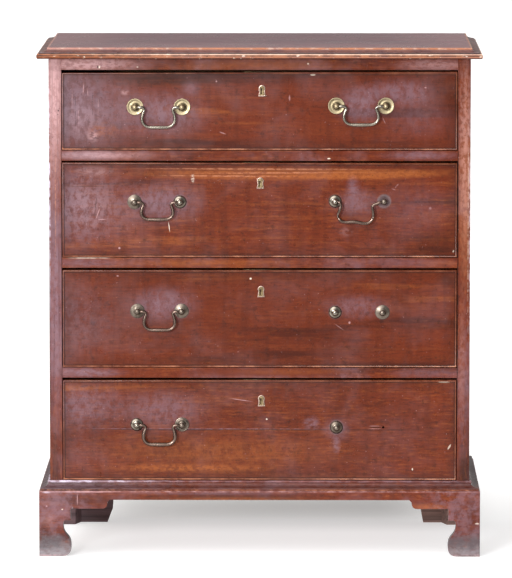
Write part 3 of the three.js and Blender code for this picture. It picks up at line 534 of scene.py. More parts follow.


# What the photograph shows on each part of the front

# On the fronts, the bloom and the broad pale marks at the left ends and the bloom round the handles are
# partly real bloom and partly a painted sheen of the light from the left.
DRAWER_MARKS = {
    1: (
        Mark("grime", -400, 950, 150, 120, 0.38),
        Mark("bloom", -420, 950, 230, 140, 0.78, 0.5, 0.95),
        Mark("pale", -370, 920, 60, 60, 0.12, 0.8),
        Mark("pale", -395, 962, 1.2, 40, 0.4, 0.9, 0.6, 1),
        Mark("pale", -381, 928, 1.2, 34, 0.35, 0.9, 0.6, -1),
        Mark("pale", -340, 952, 1.2, 30, 0.35, 0.9, 0.6, 1),
        Mark("grime", -388, 945, 1.4, 50, 0.45, 0.8),
        Mark("grime", -352, 960, 1.2, 40, 0.45, 0.8),
        Mark("streak", -330, 905, 45, 26, 0.4, 0.9, 0.95),
        Mark("bloom", -200, 940, 120, 66, 0.6, 0.6),
        Mark("grime", -210, 1010, 150, 22, 0.45, 0.5),
        Mark("bloom", -144, 993, 27, 23, 0.4, 0.3),
        Mark("bloom", 210, 958, 70, 56, 0.6, 0.6),
        Mark("bloom", 296, 985, 110, 40, 0.55, 0.6),
        Mark("bloom", 330, 930, 100, 60, 0.25, 0.5, 0.95),
        Mark("pale", -351, 892, 18, 16, 0.6, 0.9),
        Mark("pale", -371, 992, 1.6, 18, 0.5, 0.6, 0.6, 4),
        Mark("pale", -362, 985, 1.2, 12, 0.4, 0.6, 0.6, -6),
        Mark("pale", -284, 985, 12, 9, 0.5, 0.9),
        Mark("pale", 63, 973, 2.2, 8, 0.5, 0.6),
        Mark("pale", -78, 899, 9, 1.5, 0.5, 0, 0.6, 20),
        Mark("chip", 112, 1022, 7, 2, 0.9, 0, 0.4),
        Mark("pale", -91, 1008, 2.4, 2.4, 0.6),
        Mark("pale", 349, 995, 3, 2, 0.6),
        Mark("pale", 262, 925, 1.2, 9, 0.5, 0.4, 0.6, -25),
        Mark("grime", 390, 990, 60, 50, 0.45, 0.4, 1),
    ),
    2: (
        Mark("streak", 21, 813, 350, 18, 0.95, 0.55, 0.7),
        Mark("worn", -10, 823, 330, 2.2, 0.75, 0.8, 0.7, 0.2),
        Mark("worn", 90, 815, 280, 1.8, 0.8, 0.8, 0.7, -0.3),
        Mark("worn", -70, 808, 190, 1.8, 0.7, 0.8, 0.7, 0.4),
        Mark("deep", 30, 819, 300, 1.3, 0.6, 0.8, 0.7, 0.2),
        Mark("deep", -20, 811, 240, 1.3, 0.5, 0.8, 0.7, -0.2),
        Mark("streak", 240, 812, 200, 14, 0.9, 0.5, 0.6, -1),
        Mark("grime", -400, 750, 120, 100, 0.25),
        Mark("bloom", -420, 745, 210, 130, 0.68, 0.65, 0.95),
        Mark("pale", -356, 740, 80, 80, 0.15, 0.9),
        Mark("pale", -350, 818, 62, 15, 0.35, 0.7),
        Mark("bloom", -205, 750, 115, 62, 0.6, 0.6),
        Mark("bloom", 197, 782, 20, 36, 0.5, 0.6, 0.95),
        Mark("bloom", 205, 752, 62, 40, 0.45, 0.6),
        Mark("pale", 182, 690, 20, 15, 0.2, 0.9, 0.95),
        Mark("chip", -141, 803, 5, 12, 0.7, 1, 0.8),
        Mark("pale", 289, 787, 2, 8, 0.5, 0.8, 0.8, 40),
        Mark("pale", 283, 780, 7, 1.6, 0.4, 0.8, 0.8, 20),
        Mark("pale", -341, 729, 1.6, 16, 0.5, 0, 0.6, 20),
        Mark("pale", -332, 716, 11, 1.4, 0.5),
        Mark("chip", -191, 700, 1.2, 13, 0.8, 0, 0.6, -8),
        Mark("grime", -364, 786, 48, 1.1, 0.6, 0.3, 0.5),
        Mark("grime", -346, 745, 1.6, 26, 0.55, 0.5, 0.6, 6),
        Mark("grime", -322, 736, 1.3, 22, 0.5, 0.6),
        Mark("pale", -296, 655, 3, 3, 0.8, 0, 0.6),
        Mark("pale", 360, 740, 4, 4, 0.4, 0.6, 0.8),
        Mark("bloom", 330, 735, 110, 80, 0.22, 0.4, 0.95),
        Mark("grime", 370, 665, 80, 50, 0.45, 0.4, 1),
        Mark("chip", 409, 649, 2, 3.4, 0.6, 0, 0.6, 20),
    ),
    3: (
        Mark("grime", 0, 520, 480, 130, 0.12, 0, 0.3),
        Mark("grime", -410, 500, 150, 110, 0.15),
        Mark("bloom", -420, 500, 170, 130, 0.28, 0.7, 0.95),
        Mark("bloom", -205, 535, 100, 50, 0.6, 0.6),
        Mark("bloom", 205, 530, 90, 36, 0.4, 0.6),
        Mark("chip", -19, 590.5, 2.6, 2.6, 0.95, 0, 0.4),
        Mark("grime", 398, 588, 36, 28, 0.45, 0, 1),
        Mark("pale", -300, 596, 3, 2, 0.6),
        Mark("pale", 190, 497, 3, 3.6, 0.55, 0, 0.6),
        Mark("pale", 168, 488, 16, 1.6, 0.4, 0.5, 0.8, 35),
    ),
    4: (
        Mark("grime", 0, 270, 480, 120, 0.15, 0, 0.3),
        Mark("grime", -410, 280, 150, 110, 0.15),
        Mark("streak", -85, 222, 360, 50, 0.4, 0.7),
        Mark("streak", -150, 186, 250, 13, 0.85, 0.75),
        Mark("bloom", -410, 320, 200, 80, 0.5, 0.65, 0.95),
        Mark("bloom", -400, 225, 110, 55, 0.15, 0.7, 0.95),
        Mark("bloom", -200, 310, 120, 60, 0.45, 0.6, 0.95),
        Mark("grime", 0, 268.2, 420, 1.3, 0.75, 0.5, 0.3),
        Mark("bloom", -120, 270, 300, 1.2, 0.5, 0.9, 0.3),
        Mark("bloom", 110, 283, 24, 20, 0.5, 0.8, 0.95),
        Mark("bloom", 163, 235, 12, 24, 0.45, 0.6),
        Mark("bloom", 163, 268, 40, 32, 0.45, 0.5, 0.95),
        Mark("grime", 245, 273.5, 15, 1.2, 0.8, 0.2, 0.5),
        Mark("pale", 244, 276.4, 15, 0.9, 0.5, 0.3, 0.5),
        Mark("pale", 244, 270.6, 17, 0.9, 0.45, 0.3, 0.5),
        Mark("grime", 258, 286, 7, 5, 0.4, 0.5, 0.7),
        Mark("chip", 324, 184, 1.6, 3, 0.8, 0, 0.4),
        Mark("chip", 15, 291, 2.2, 2.2, 0.6, 0, 0.4),
        Mark("pale", -40, 332, 30, 1.4, 0.5, 0.4, 0.6, 8),
        Mark("chip", 402, 232, 2.2, 8, 0.6, 0, 0.5, 30),
        Mark("chip", 390, 370.5, 15, 1.8, 0.8, 0.3, 0.4),
    ),
}
# On the rails, the broad pale, bloom and gleam marks are partly real bloom and partly a painted sheen of the
# light, strongest at the left ends.
RAIL_MARKS = (
    Mark("pale", -370, 1044, 170, 26, 0.85, 0.5, 0.95),
    Mark("pale", 370, 1044, 110, 20, 0.45, 0.5),
    Mark("chip", -337, 1038, 2, 3.4, 0.9, 0, 0.4),
    Mark("grime", -341, 1038, 1.6, 4, 0.7, 0, 0.4),
    Mark("chip", -257, 1038, 2.6, 2.2, 0.7, 0.5),
    Mark("chip", 102, 1045, 2.5, 2.5, 0.9, 0.5, 0.4),
    Mark("bloom", -370, 852, 120, 16, 0.4, 0.2, 0.95),
    Mark("pale", -330, 852, 150, 14, 0.5, 0.4, 0.95),
    Mark("gleam", -370, 852, 90, 14, 0.08, 0.3, 0.95),
    Mark("bloom", 340, 852, 110, 14, 0.5, 0.5),
    Mark("chip", 146, 845, 4, 1.8, 0.8, 0, 0.4),
    Mark("bloom", -360, 624, 110, 16, 0.4, 0.5),
    Mark("streak", -120, 624, 260, 11, 0.5, 0.5),
    Mark("streak", 0, 1043, 240, 16, 0.4, 0.4),
    Mark("chip", -360, 634, 52, 1.4, 0.55, 0.7, 0.4),
    Mark("bloom", -370, 390, 110, 16, 0.65, 0.5),
    Mark("middle", 20, 392, 230, 14, 0.85, 0.15, 0.7),
    Mark("deep", 20, 392, 230, 14, 0.25, 0.3, 0.7),
    Mark("streak", 60, 392, 180, 9, 0.3, 0.5),
    Mark("streak", 380, 624, 70, 12, 0.3, 0.5),
    Mark("bloom", 330, 624, 130, 16, 0.25, 0.4),
    Mark("bloom", 360, 390, 110, 16, 0.3, 0.4),
)
# On the stiles, the broad pale and bloom marks are partly real bloom and partly a painted sheen of the light
# from the left, the gleam lines are painted highlights on the outer arrises, and the long grime lines at the
# inner edges are painted shade in the gaps beside the drawers.
STILE_MARKS = {
    "left": (
        Mark("pale", -433, 980, 30, 280, 0.95, 0.35, 0.95),
        Mark("bloom", -431, 560, 26, 420, 0.7, 0.4, 0.95),
        Mark("grime", -431, 210, 22, 130, 0.35, 0.5, 1),
        Mark("grime", -437, 960, 1.2, 120, 0.35, 0.9, 0.6, 1),
        Mark("grime", -426, 900, 1.2, 150, 0.4, 0.9, 0.6, -1),
        Mark("worn", -431, 760, 1.6, 160, 0.5, 0.9),
        Mark("deep", -424, 560, 1.6, 190, 0.6, 0.9),
        Mark("deep", -435, 420, 1.6, 170, 0.6, 0.9, 0.6, 1),
        Mark("gleam", -443.5, 760, 2.4, 330, 0.8, 1),
        Mark("grime", -444, 500, 1.6, 340, 0.7, 1),
        Mark("grime", -424, 946, 1.6, 2.6, 0.9),
        Mark("grime", -425, 938, 1.2, 1.8, 0.8),
        Mark("grime", -418.2, 600, 1.4, 450, 0.6, 0.5, 0.5),
    ),
    "right": (
        Mark("worn", 433, 800, 20, 320, 0.5, 0.5, 0.95),
        Mark("pale", 433, 900, 22, 260, 0.28, 0.9, 0.95),
        Mark("streak", 427, 420, 12, 200, 0.45, 0.6),
        Mark("bloom", 430, 380, 22, 240, 0.35, 0.7),
        Mark("chip", 440, 700, 1, 300, 0.4, 1),
        Mark("gleam", 443.5, 700, 2.4, 330, 0.35, 1),
        Mark("grime", 431, 180, 24, 60, 0.5),
        Mark("grime", 418.2, 600, 2.2, 450, 0.9, 0.5, 0.5),
    ),
}
# The gleam and pale marks along the bead are painted highlights, and the bloom mark is partly a painted
# sheen.
BASE_MARKS = (
    Mark("gleam", -438, 157.6, 9, 3, 0.9, 0.2, 0.6),
    Mark("gleam", -404, 157.6, 22, 2.8, 0.95, 0.3, 0.7),
    Mark("gleam", -364, 157.6, 9, 2.6, 0.9, 0.2, 0.7),
    Mark("pale", -300, 157.4, 70, 2.2, 0.7, 0.5, 0.9),
    Mark("pale", -80, 157.6, 260, 1.2, 0.12, 0.6, 0.9),
    Mark("bloom", 400, 156, 130, 9, 0.12, 0.3),
)
# The pale and gleam marks along the top arris are painted highlights, and the bloom marks are partly real
# bloom and partly a painted sheen.
PLINTH_MARKS = (
    Mark("bloom", -423, 105, 60, 40, 0.35, 0.5, 0.95),
    Mark("pale", -380, 138, 110, 2.2, 0.8, 0.4, 0.8),
    Mark("gleam", -452, 137, 12, 3, 0.6, 0.4, 0.8),
    Mark("bloom", -100, 135, 260, 5, 0.4, 0.6),
    Mark("grime", -60, 122, 330, 22, 0.65, 0.4),
    Mark("grime", -380, 120, 110, 22, 0.45, 0.2),
    Mark("pale", -450, 78, 26, 26, 0.3, 0.5),
    Mark("grime", 440, 95, 45, 40, 0.35, 0.4),
    Mark("pale", -386, 122, 1.3, 14, 0.6, 0.2, 0.5),
    Mark("grime", -391, 93, 16, 14, 0.85, 0.4, 0.7),
    Mark("toe", -398, 100, 2, 9, 0.8, 0.2, 0.7, 20),
    Mark("toe", -384, 92, 2, 9, 0.7, 0.2, 0.7, -25),
    Mark("chip", -418, 100.5, 2.4, 1.8, 0.7),
    Mark("pale", -451, 107.5, 2.4, 2, 0.7),
    Mark("grime", -455, 60, 14, 70, 0.35, 0.5),
    Mark("chip", 461, 70.8, 6, 2.4, 0.7, 0.5),
    Mark("streak", 360, 106, 60, 12, 0.6, 0.5),
    Mark("streak", -60, 122, 260, 8, 0.55, 0.6),
    Mark("worn", -345, 97.5, 30, 1.6, 0.7, 0.3),
    Mark("worn", 200, 113, 160, 1.6, 0.5, 0.6),
)

# Each post: its rose, its brass, and the radius in mm and the strength of the pale ring that the rose
# leaves in the polish.
Post = namedtuple("Post", "rose brass ring strength", defaults=(0, 0))
POSTS = {
    "1_left_outer": Post("dished", "bright", 19.5, 0.3),
    "1_left_inner": Post("dished", "bright"),
    "1_right_inner": Post("dished", "bright"),
    "1_right_outer": Post("dished", "bright", 20, 0.3),
    "2_left_outer": Post("flat", "dull", 18, 0.4),
    "2_left_inner": Post("domed", "polished", 17.5, 0.45),
    "2_right_inner": Post("domed", "polished", 17, 0.3),
    "2_right_outer": Post("bare", "dull", 17, 0.7),
    "3_left_outer": Post("flat", "dark", 18, 0.4),
    "3_left_inner": Post("flat", "dull", 18.5, 0.45),
    "3_right_inner": Post("domed", "polished", 16.5, 0.5),
    "3_right_outer": Post("flat", "dull", 17.5, 0.5),
    "4_left_outer": Post("domed", "polished", 16, 0.35),
    "4_left_inner": Post("ringed", "dull"),
    "4_right_inner": Post("domed", "dull", 18, 0.4),
}


# The case


def top_wear_and_light(tree, place, base, rough):
    """The top's rubbed edges and its painted light. From below: a bruised nose, orange where it is bare and
    cracked along its middle, a black quirk, a cove darkened as painted shade with a painted highlight along
    a line in it, and a rubbed arris."""
    wood = bpy.context.scene.chest_wood
    low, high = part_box("top_board")
    x, y, z = (add(tree, AXES, place, take=axis) for axis in "XYZ")
    from_end = add(tree, LESS, high.x, (SIZE, x))
    from_front = add(tree, LESS, y, low.y)
    inward = add(tree, LEAST, from_end, from_front)
    level = add(tree, LESS, z, low.z)
    patchy = cloud(tree, place, 30, 4, 0.7)
    # The left end is pinker than the right, and the surface is paler towards its edges.
    leftward = add(tree, FADE, x, -150 * MM, -420 * MM)
    nose = add(tree, FADE, inward, 4 * MM, 2.5 * MM)
    cove = ridge(tree, inward, 5, 6, 20.6, 21.4)
    rib = ridge(tree, inward, 7, 8.5, 10, 12)
    arris = ridge(tree, inward, 20.6, 21.6, 23.6, 27)
    crack = ridge(tree, level, 5.2, 6, 7.4, 8.4)
    lip = add(tree, FADE, level, 8.2 * MM, 9.4 * MM)
    foot = add(tree, FADE, level, 4.2 * MM, 2.4 * MM)
    in_front = add(tree, FADE, from_front, 40 * MM, 14 * MM)
    edgeward = add(tree, FADE, inward, 250 * MM, 20 * MM, 0, 0.3)
    return coated(
        tree,
        base,
        # Bloom over the whole top, partly real and partly a painted sheen of the glancing light.
        (wood.bloom, (FADE, rough, 0.2, 0.7, 0.4, 0.6)),
        (wood.pale, edgeward, (FADE, rough, 0.2, 0.7, 0.5)),
        # Painted shade in the cove, and a painted highlight on the rib in it.
        (wood.grime, cove, 0.6),
        (wood.worn, cove, (FADE, patchy, 0.35, 0.6, 0.02, 0.22)),
        (wood.gleam, rib, in_front, (FADE, rough, 0.3, 0.55, 0.05, 0.35)),
        (wood.worn, nose, (FADE, patchy, 0.3, 0.6, 0.55, 1)),
        (wood.chip, nose, lip, (FADE, patchy, 0.35, 0.65, 0.2, 0.8)),
        (wood.streak, nose, leftward, 0.8),
        (wood.deep, nose, foot, 0.85),
        (wood.grime, nose, crack, (FADE, patchy, 0.64, 0.44, 0.4, 0.95)),
        (wood.deep, nose, leftward, (FADE, rough, 0.5, 0.35, 0, 0.6)),
        (wood.worn, arris, (FADE, patchy, 0.3, 0.6, 0.5, 1)),
        (wood.pale, arris, leftward, 0.45),
        (wood.chip, arris, (FADE, rough, 0.5, 0.66, 0, 0.35)),
        (wood.grime, ridge(tree, inward, 4.2, 4.7, 5.2, 6.5), 0.9),
        (wood.chip, nose, (FADE, rough, 0.6, 0.68, 0, 0.7)),
        (wood.grime, nose, (FADE, rough, 0.36, 0.3, 0, 0.8)),
    )


class CHEST_OT_top(bpy.types.Operator):
    """Finish the top board"""

    bl_idname = "chest.top"
    bl_label = "Top board"

    def execute(self, context):
        finish = mahogany("top", "x", 0.5, 0.35, 0.2, edge=top_wear_and_light)
        dressed("top_board", finish, 0.35 * MM)
        return {"FINISHED"}


class CHEST_OT_case(bpy.types.Operator):
    """Finish the sides, the stiles, the rails and the shelves"""

    bl_idname = "chest.case"
    bl_label = "Case"

    def execute(self, context):
        upright = mahogany("sides", "z", haze=0.22)
        rails = mahogany("rails", "x", streaks=0.5, haze=0.3, marks=RAIL_MARKS)
        for hand in HANDS:
            stile = mahogany(f"{hand} stile", "z", streaks=0.5, haze=0.4, marks=STILE_MARKS[hand])
            dressed(f"stile_{hand}", stile, 0.8 * MM)
            dressed(f"side_{hand}", upright)
        for node in ("top_rail", "divider_1", "divider_2", "divider_3", "bottom_board"):
            dressed(node, rails)
        return {"FINISHED"}


def moulding_dirt(tree, place, base, rough):
    """The base moulding's dirt and painted light: a cove darkened as painted shade, black at the left and
    brown at the right, with a painted sheen in it at the left, a rubbed lower edge and painted highlights on
    the bead at the left.
    """
    wood = bpy.context.scene.chest_wood
    x, z = (add(tree, AXES, place, take=axis) for axis in "XZ")
    up = add(tree, LESS, z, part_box("base_moulding_front")[0].z)
    leftward = add(tree, FADE, x, -150 * MM, -400 * MM, 0.1, 1)
    bead = add(tree, FADE, up, 14.5 * MM, 17 * MM)
    hollow = ridge(tree, up, 3, 5, 12, 15)
    return coated(
        tree,
        base,
        # Painted shade in the cove, black under the bead at the left.
        (wood.soot, (FADE, up, 16 * MM, 14 * MM), leftward, 0.6),
        (wood.grime, ridge(tree, up, 1, 4, 9, 13), 0.3),
        (wood.toe, hollow, (FADE, rough, 0.3, 0.6, 0, 0.1)),
        # Painted sheen in the cove and painted highlights on the bead, at the left.
        (wood.bloom, hollow, leftward, (FADE, rough, 0.3, 0.6, 0, 0.28)),
        (wood.worn, ridge(tree, up, 0, 1, 2, 4), (FADE, rough, 0.4, 0.65, 0, 0.5)),
        (wood.bloom, bead, leftward, (FADE, rough, 0.3, 0.6, 0.4, 0.9)),
        (wood.gleam, bead, leftward, (FADE, rough, 0.4, 0.6, 0.15, 0.85)),
    )


def foot_wear_and_light(axis, outside, inward):
    """The finish of a plinth board: sawn wood inside, painted near black as shade, dry grey toes and a
    painted highlight along the top arris. The axis points through the board, outside is where its face lies
    and inward is the way to its back."""

    def edge(tree, place, base, rough):
        wood = bpy.context.scene.chest_wood
        deep = add(tree, TIMES, (LESS, add(tree, AXES, place, take=axis), outside), inward)
        x, z = (add(tree, AXES, place, take=axis) for axis in "XZ")
        worn_off = cloud(tree, place, 45, 4, 0.65)
        uneven = add(tree, LESS, z, (TIMES, worn_off, 0.05))
        feet = add(tree, FADE, (SIZE, x), 330 * MM, 400 * MM)
        # The right foot is less dry than the left.
        dry = (FADE, x, 0, 400 * MM, 1, 0.72)
        core = ridge(tree, z, 10, 20, 32, 50)
        return coated(
            tree,
            base,
            (wood.bloom, feet, (FADE, worn_off, 0.4, 0.6, 0, 0.35)),
            (wood.soot, (FADE, uneven, 55 * MM, 5 * MM), (FADE, rough, 0.3, 0.6, 0.3, 0.5)),
            (wood.toe, (FADE, uneven, 30 * MM, -14 * MM), dry, (FADE, rough, 0.3, 0.6, 0.5, 0.95)),
            (wood.soot, core, (FADE, worn_off, 0.35, 0.6, 0.05, 0.55)),
            (wood.pale, (FADE, z, 7 * MM, 1 * MM), (FADE, rough, 0.42, 0.58, 0, 0.4)),
            # A painted highlight along the top arris, and painted shade making the inside of the board near
            # black.
            (wood.pale, (FADE, z, 136 * MM, 139 * MM), (FADE, rough, 0.4, 0.7, 0.1, 0.6)),
            (wood.grime, (FADE, deep, 2 * MM, 12 * MM), 0.93),
            (wood.toe, (FADE, deep, 8 * MM, 14 * MM), (FADE, rough, 0.52, 0.6, 0, 0.45)),
        )

    return edge


def rear_bracket(hand, finish):
    """A rear bracket board, with the foot of its inner end cut back more than the CAD board's."""
    node = f"rear_bracket_{hand}"
    low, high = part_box(node)
    cut_height = 30 * MM
    cut_back = 9 * MM
    end_region = 20 * MM
    outward, inner_end = (-1, high.x) if hand == "left" else (1, low.x)
    bm = merged(node)
    parts = bm.verts[:] + bm.edges[:] + bm.faces[:]
    bmesh.ops.bisect_plane(bm, geom=parts, plane_co=(0, 0, low.z + cut_height), plane_no=(0, 0, 1))
    for vertex in bm.verts:
        if vertex.co.z < low.z + WELD and abs(vertex.co.x - inner_end) < end_region:
            vertex.co.x += outward * cut_back
    ease(stand_in(node, "finished", bm, finish), 0.8 * MM)


class CHEST_OT_base(bpy.types.Operator):
    """Finish the base moulding, the plinth and the bracket feet"""

    bl_idname = "chest.base"
    bl_label = "Base"

    def execute(self, context):
        low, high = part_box("plinth_front")
        boards = (
            ("front", "x", foot_wear_and_light("Y", low.y, 1), BASE_MARKS, PLINTH_MARKS),
            ("left", "y", foot_wear_and_light("X", low.x, 1), (), ()),
            ("right", "y", foot_wear_and_light("X", high.x, -1), (), ()),
        )
        for side, run, wear, moulding_marks, plinth_marks in boards:
            moulding = mahogany(f"{side} moulding", run, edge=moulding_dirt, marks=moulding_marks)
            dressed(f"base_moulding_{side}", moulding, 0.3 * MM)
            plinth = mahogany(f"{side} plinth", run, 0.3, 0.35, edge=wear, marks=plinth_marks)
            dressed(f"plinth_{side}", plinth, 0.9 * MM)
        wood = context.scene.chest_wood
        for hand, tint in (("left", wood.shade), ("right", wood.dust)):
            rear_bracket(hand, softwood(f"Stained pine, {hand} rear bracket", tint, "x", 9 * MM, 0.2))
        return {"FINISHED"}


class CHEST_OT_back(bpy.types.Operator):
    """Build the back of five nailed boards"""

    bl_idname = "chest.back"
    bl_label = "Back boards"

    def execute(self, context):
        sizes = context.scene.chest_fittings
        low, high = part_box("back_panel")
        count = 5
        nail_stand = 0.8 * MM
        pitch = (high.z - low.z) / count
        gap = sizes.board_gap / 2
        bm = bmesh.new()
        for i in range(count):
            head = low.z + pitch * (i + 1) - gap
            block(bm, (low.x, low.y, low.z + pitch * i + gap), (high.x, high.y - nail_stand, head))
        pine = softwood("Sawn pine, back", context.scene.chest_wood.pine, "x", 12 * MM, 0.6)
        boards = finished("back_boards", bm, pine, "carcass")
        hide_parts("back_panel")
        ease(boards, 0.8 * MM)

        bm = bmesh.new()
        inset = 6 * MM
        radii = (sizes.nail_radius * 0.6, sizes.nail_radius)
        for i in range(count):
            for level in (0.2, 0.8):
                for x in (low.x + inset, high.x - inset, low.x / 3, high.x / 3):
                    middle = (x, high.y - nail_stand / 2, low.z + pitch * (i + level))
                    stud(bm, middle, math.pi / 2, "X", 7, radii, nail_stand)
        bmesh.ops.recalc_face_normals(bm, faces=bm.faces)
        finished("back_nails", bm, old_iron("Wrought iron, nails"), "carcass")
        return {"FINISHED"}


# The drawers

# How much higher than the CAD front a drawer's top edge is at its left end and at its right end, in mm:
# the openings have dropped and the fronts were planed to suit.
TOP_LIFTS = {1: (-0.6, 2.6), 2: (0.6, -0.2), 3: (0.4, 1.4), 4: (0, 1.2)}


def front_edges(drawer):
    """The finish of a front's border: a rubbed cockbead, a dark quirk inside it and dirt at the edges.
    The bead's width is in mm."""
    low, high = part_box(f"drawer_{drawer}_front")
    bead = 3

    def edge(tree, place, base, rough):
        wood = bpy.context.scene.chest_wood
        x, z = (add(tree, AXES, place, take=axis) for axis in "XZ")
        from_end = add(tree, LESS, high.x, (SIZE, x))
        from_foot = add(tree, LESS, z, low.z)
        from_level_edge = add(tree, LEAST, (LESS, high.z, z), from_foot)
        inward = add(tree, LEAST, from_end, from_level_edge)
        patchy = cloud(tree, place, 26, 4, 0.7)
        on_bead = (FADE, inward, bead * 1.05 * MM, bead * 0.9 * MM)
        above_foot = (FADE, from_foot, bead * 2 * MM, bead * MM, 0.3, 1)
        return coated(
            tree,
            base,
            (wood.grime, (FADE, inward, 34 * MM, bead * MM, 0, 0.3), (FADE, rough, 0.3, 0.7, 0.6)),
            (wood.grime, ridge(tree, inward, bead * 0.9, bead, bead * 1.25, bead * 1.9), 0.55),
            (wood.worn, on_bead, above_foot, (FADE, patchy, 0.38, 0.65, 0.1, 0.7)),
        )

    return edge


def rose_marks(drawer):
    """The pale rings round a drawer's roses as marks on the front, dark again under the rose."""
    marks = []
    for name, post in POSTS.items():
        if name.startswith(str(drawer)) and post.ring:
            middle = centre_of(f"post_{name}")
            x, z = middle.x / MM, middle.z / MM
            marks.append(Mark("toe", x, z, post.ring, post.ring, post.strength * 0.7, 0.3, 0.3))
            marks.append(Mark("soot", x, z, post.ring * 0.92, post.ring * 0.92, 0.65, 0, 0.6))
    return tuple(marks)


# Each front's streaks, bloom and flecks, as strengths.
FIGURE = {1: (0.15, 0.1, 0.1), 2: (0.4, 0.1, 0.25), 3: (0.15, 0.1, 0.14), 4: (0.4, 0.12, 0.3)}


def drawer_front(drawer):
    """A drawer's front with its rounded cockbead."""
    sizes = bpy.context.scene.chest_fittings
    node = f"drawer_{drawer}_front"
    low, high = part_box(node)
    bm = merged(node)
    left, right = (lift * MM for lift in TOP_LIFTS[drawer])
    edge_depth = 3.2 * MM
    for vertex in bm.verts:
        if vertex.co.z > high.z - edge_depth:
            way = (vertex.co.x - low.x) / (high.x - low.x)
            vertex.co.z += left + (right - left) * way
    proud = [
        edge
        for edge in bm.edges
        if all(vertex.co.y < low.y + WELD for vertex in edge.verts) and edge.calc_face_angle(0) > CREASE
    ]
    round_edges(bm, proud, sizes.bead_round, 3)
    finish = mahogany(
        f"drawer {drawer} front",
        "x",
        *FIGURE[drawer],
        edge=front_edges(drawer),
        marks=DRAWER_MARKS[drawer] + rose_marks(drawer),
    )
    stand_in(node, "finished", bm, finish)


class CHEST_OT_drawers(bpy.types.Operator):
    """Finish the four drawers"""

    bl_idname = "chest.drawers"
    bl_label = "Drawers"

    def execute(self, context):
        wood = context.scene.chest_wood
        oak = softwood("Oak, drawer sides", wood.oak, "y", 5 * MM, 0.4)
        oak_back = softwood("Oak, drawer backs", wood.oak, "x", 5 * MM, 0.4)
        pine = softwood("Pine, drawer bottoms", wood.pine, "x", 11 * MM, 0.35)
        for drawer in DRAWERS:
            drawer_front(drawer)
            for hand in HANDS:
                dressed(f"drawer_{drawer}_side_{hand}", oak, 0.8 * MM)
            dressed(f"drawer_{drawer}_back", oak_back, 0.8 * MM)
            dressed(f"drawer_{drawer}_bottom", pine)
        return {"FINISHED"}


# The locks


def keyhole_outline(width, height, head, waist):
    """A keyhole's outline as pairs of x and z, from the middle of its foot: a spreading skirt, a waist
    and a round head."""
    spread = (width - waist) / 2
    skirt = [(waist / 2 + spread * (1 - way) ** 2, height / 2 * way) for way in (0, 0.25, 0.5, 0.75, 1)]
    middle = height - head / 2
    steps = 12
    arc = [
        (head / 2 * math.cos(math.pi * i / steps), middle + head / 2 * math.sin(math.pi * i / steps))
        for i in range(steps + 1)
    ]
    return skirt + arc + [(-x, z) for x, z in reversed(skirt)]


def plate(name, outlines, thickness, rounding, place):
    """A flat plate along Y from outlines, the later ones being holes, as a mesh in its place."""
    curve = bpy.data.curves.new(name, "CURVE")
    curve.dimensions = "2D"
    curve.fill_mode = "BOTH"
    curve.extrude = thickness / 2 - rounding
    curve.bevel_depth = rounding
    curve.bevel_resolution = 2
    curve.offset = -rounding
    for outline in outlines:
        spline = curve.splines.new("POLY")
        spline.points.add(len(outline) - 1)
        spline.use_cyclic_u = True
        for point, (x, z) in zip(spline.points, outline):
            point.co = (x, z, 0, 1)
    drawn = link(name, curve)
    mesh = bpy.data.meshes.new_from_object(drawn.evaluated_get(bpy.context.evaluated_depsgraph_get()))
    bpy.data.objects.remove(drawn)
    mesh.transform(Matrix.Translation(place) @ Matrix.Rotation(math.pi / 2, 4, "X"))
    bm = bmesh.new()
    bm.from_mesh(mesh)
    bmesh.ops.remove_doubles(bm, verts=bm.verts, dist=WELD / 4)
    bmesh.ops.recalc_face_normals(bm, faces=bm.faces)
    bpy.data.meshes.remove(mesh)
    return bm


# A keyhole's sizes, and where the middle of each drawer's keyhole has its foot, in mm, as in the CAD.
KEYHOLE = {"width": 16 * MM, "height": 24 * MM, "head": 14.5 * MM, "waist": 12.5 * MM}
KEYHOLE_FOOT = {1: (5.24, 976.15), 2: (1.66, 781.18), 3: (3.16, 550.98), 4: (3.83, 318.24)}


def shrunk(outline, inset):
    """Keyhole sizes taken in by an inset all round."""
    return {name: size - 2 * inset for name, size in outline.items()}


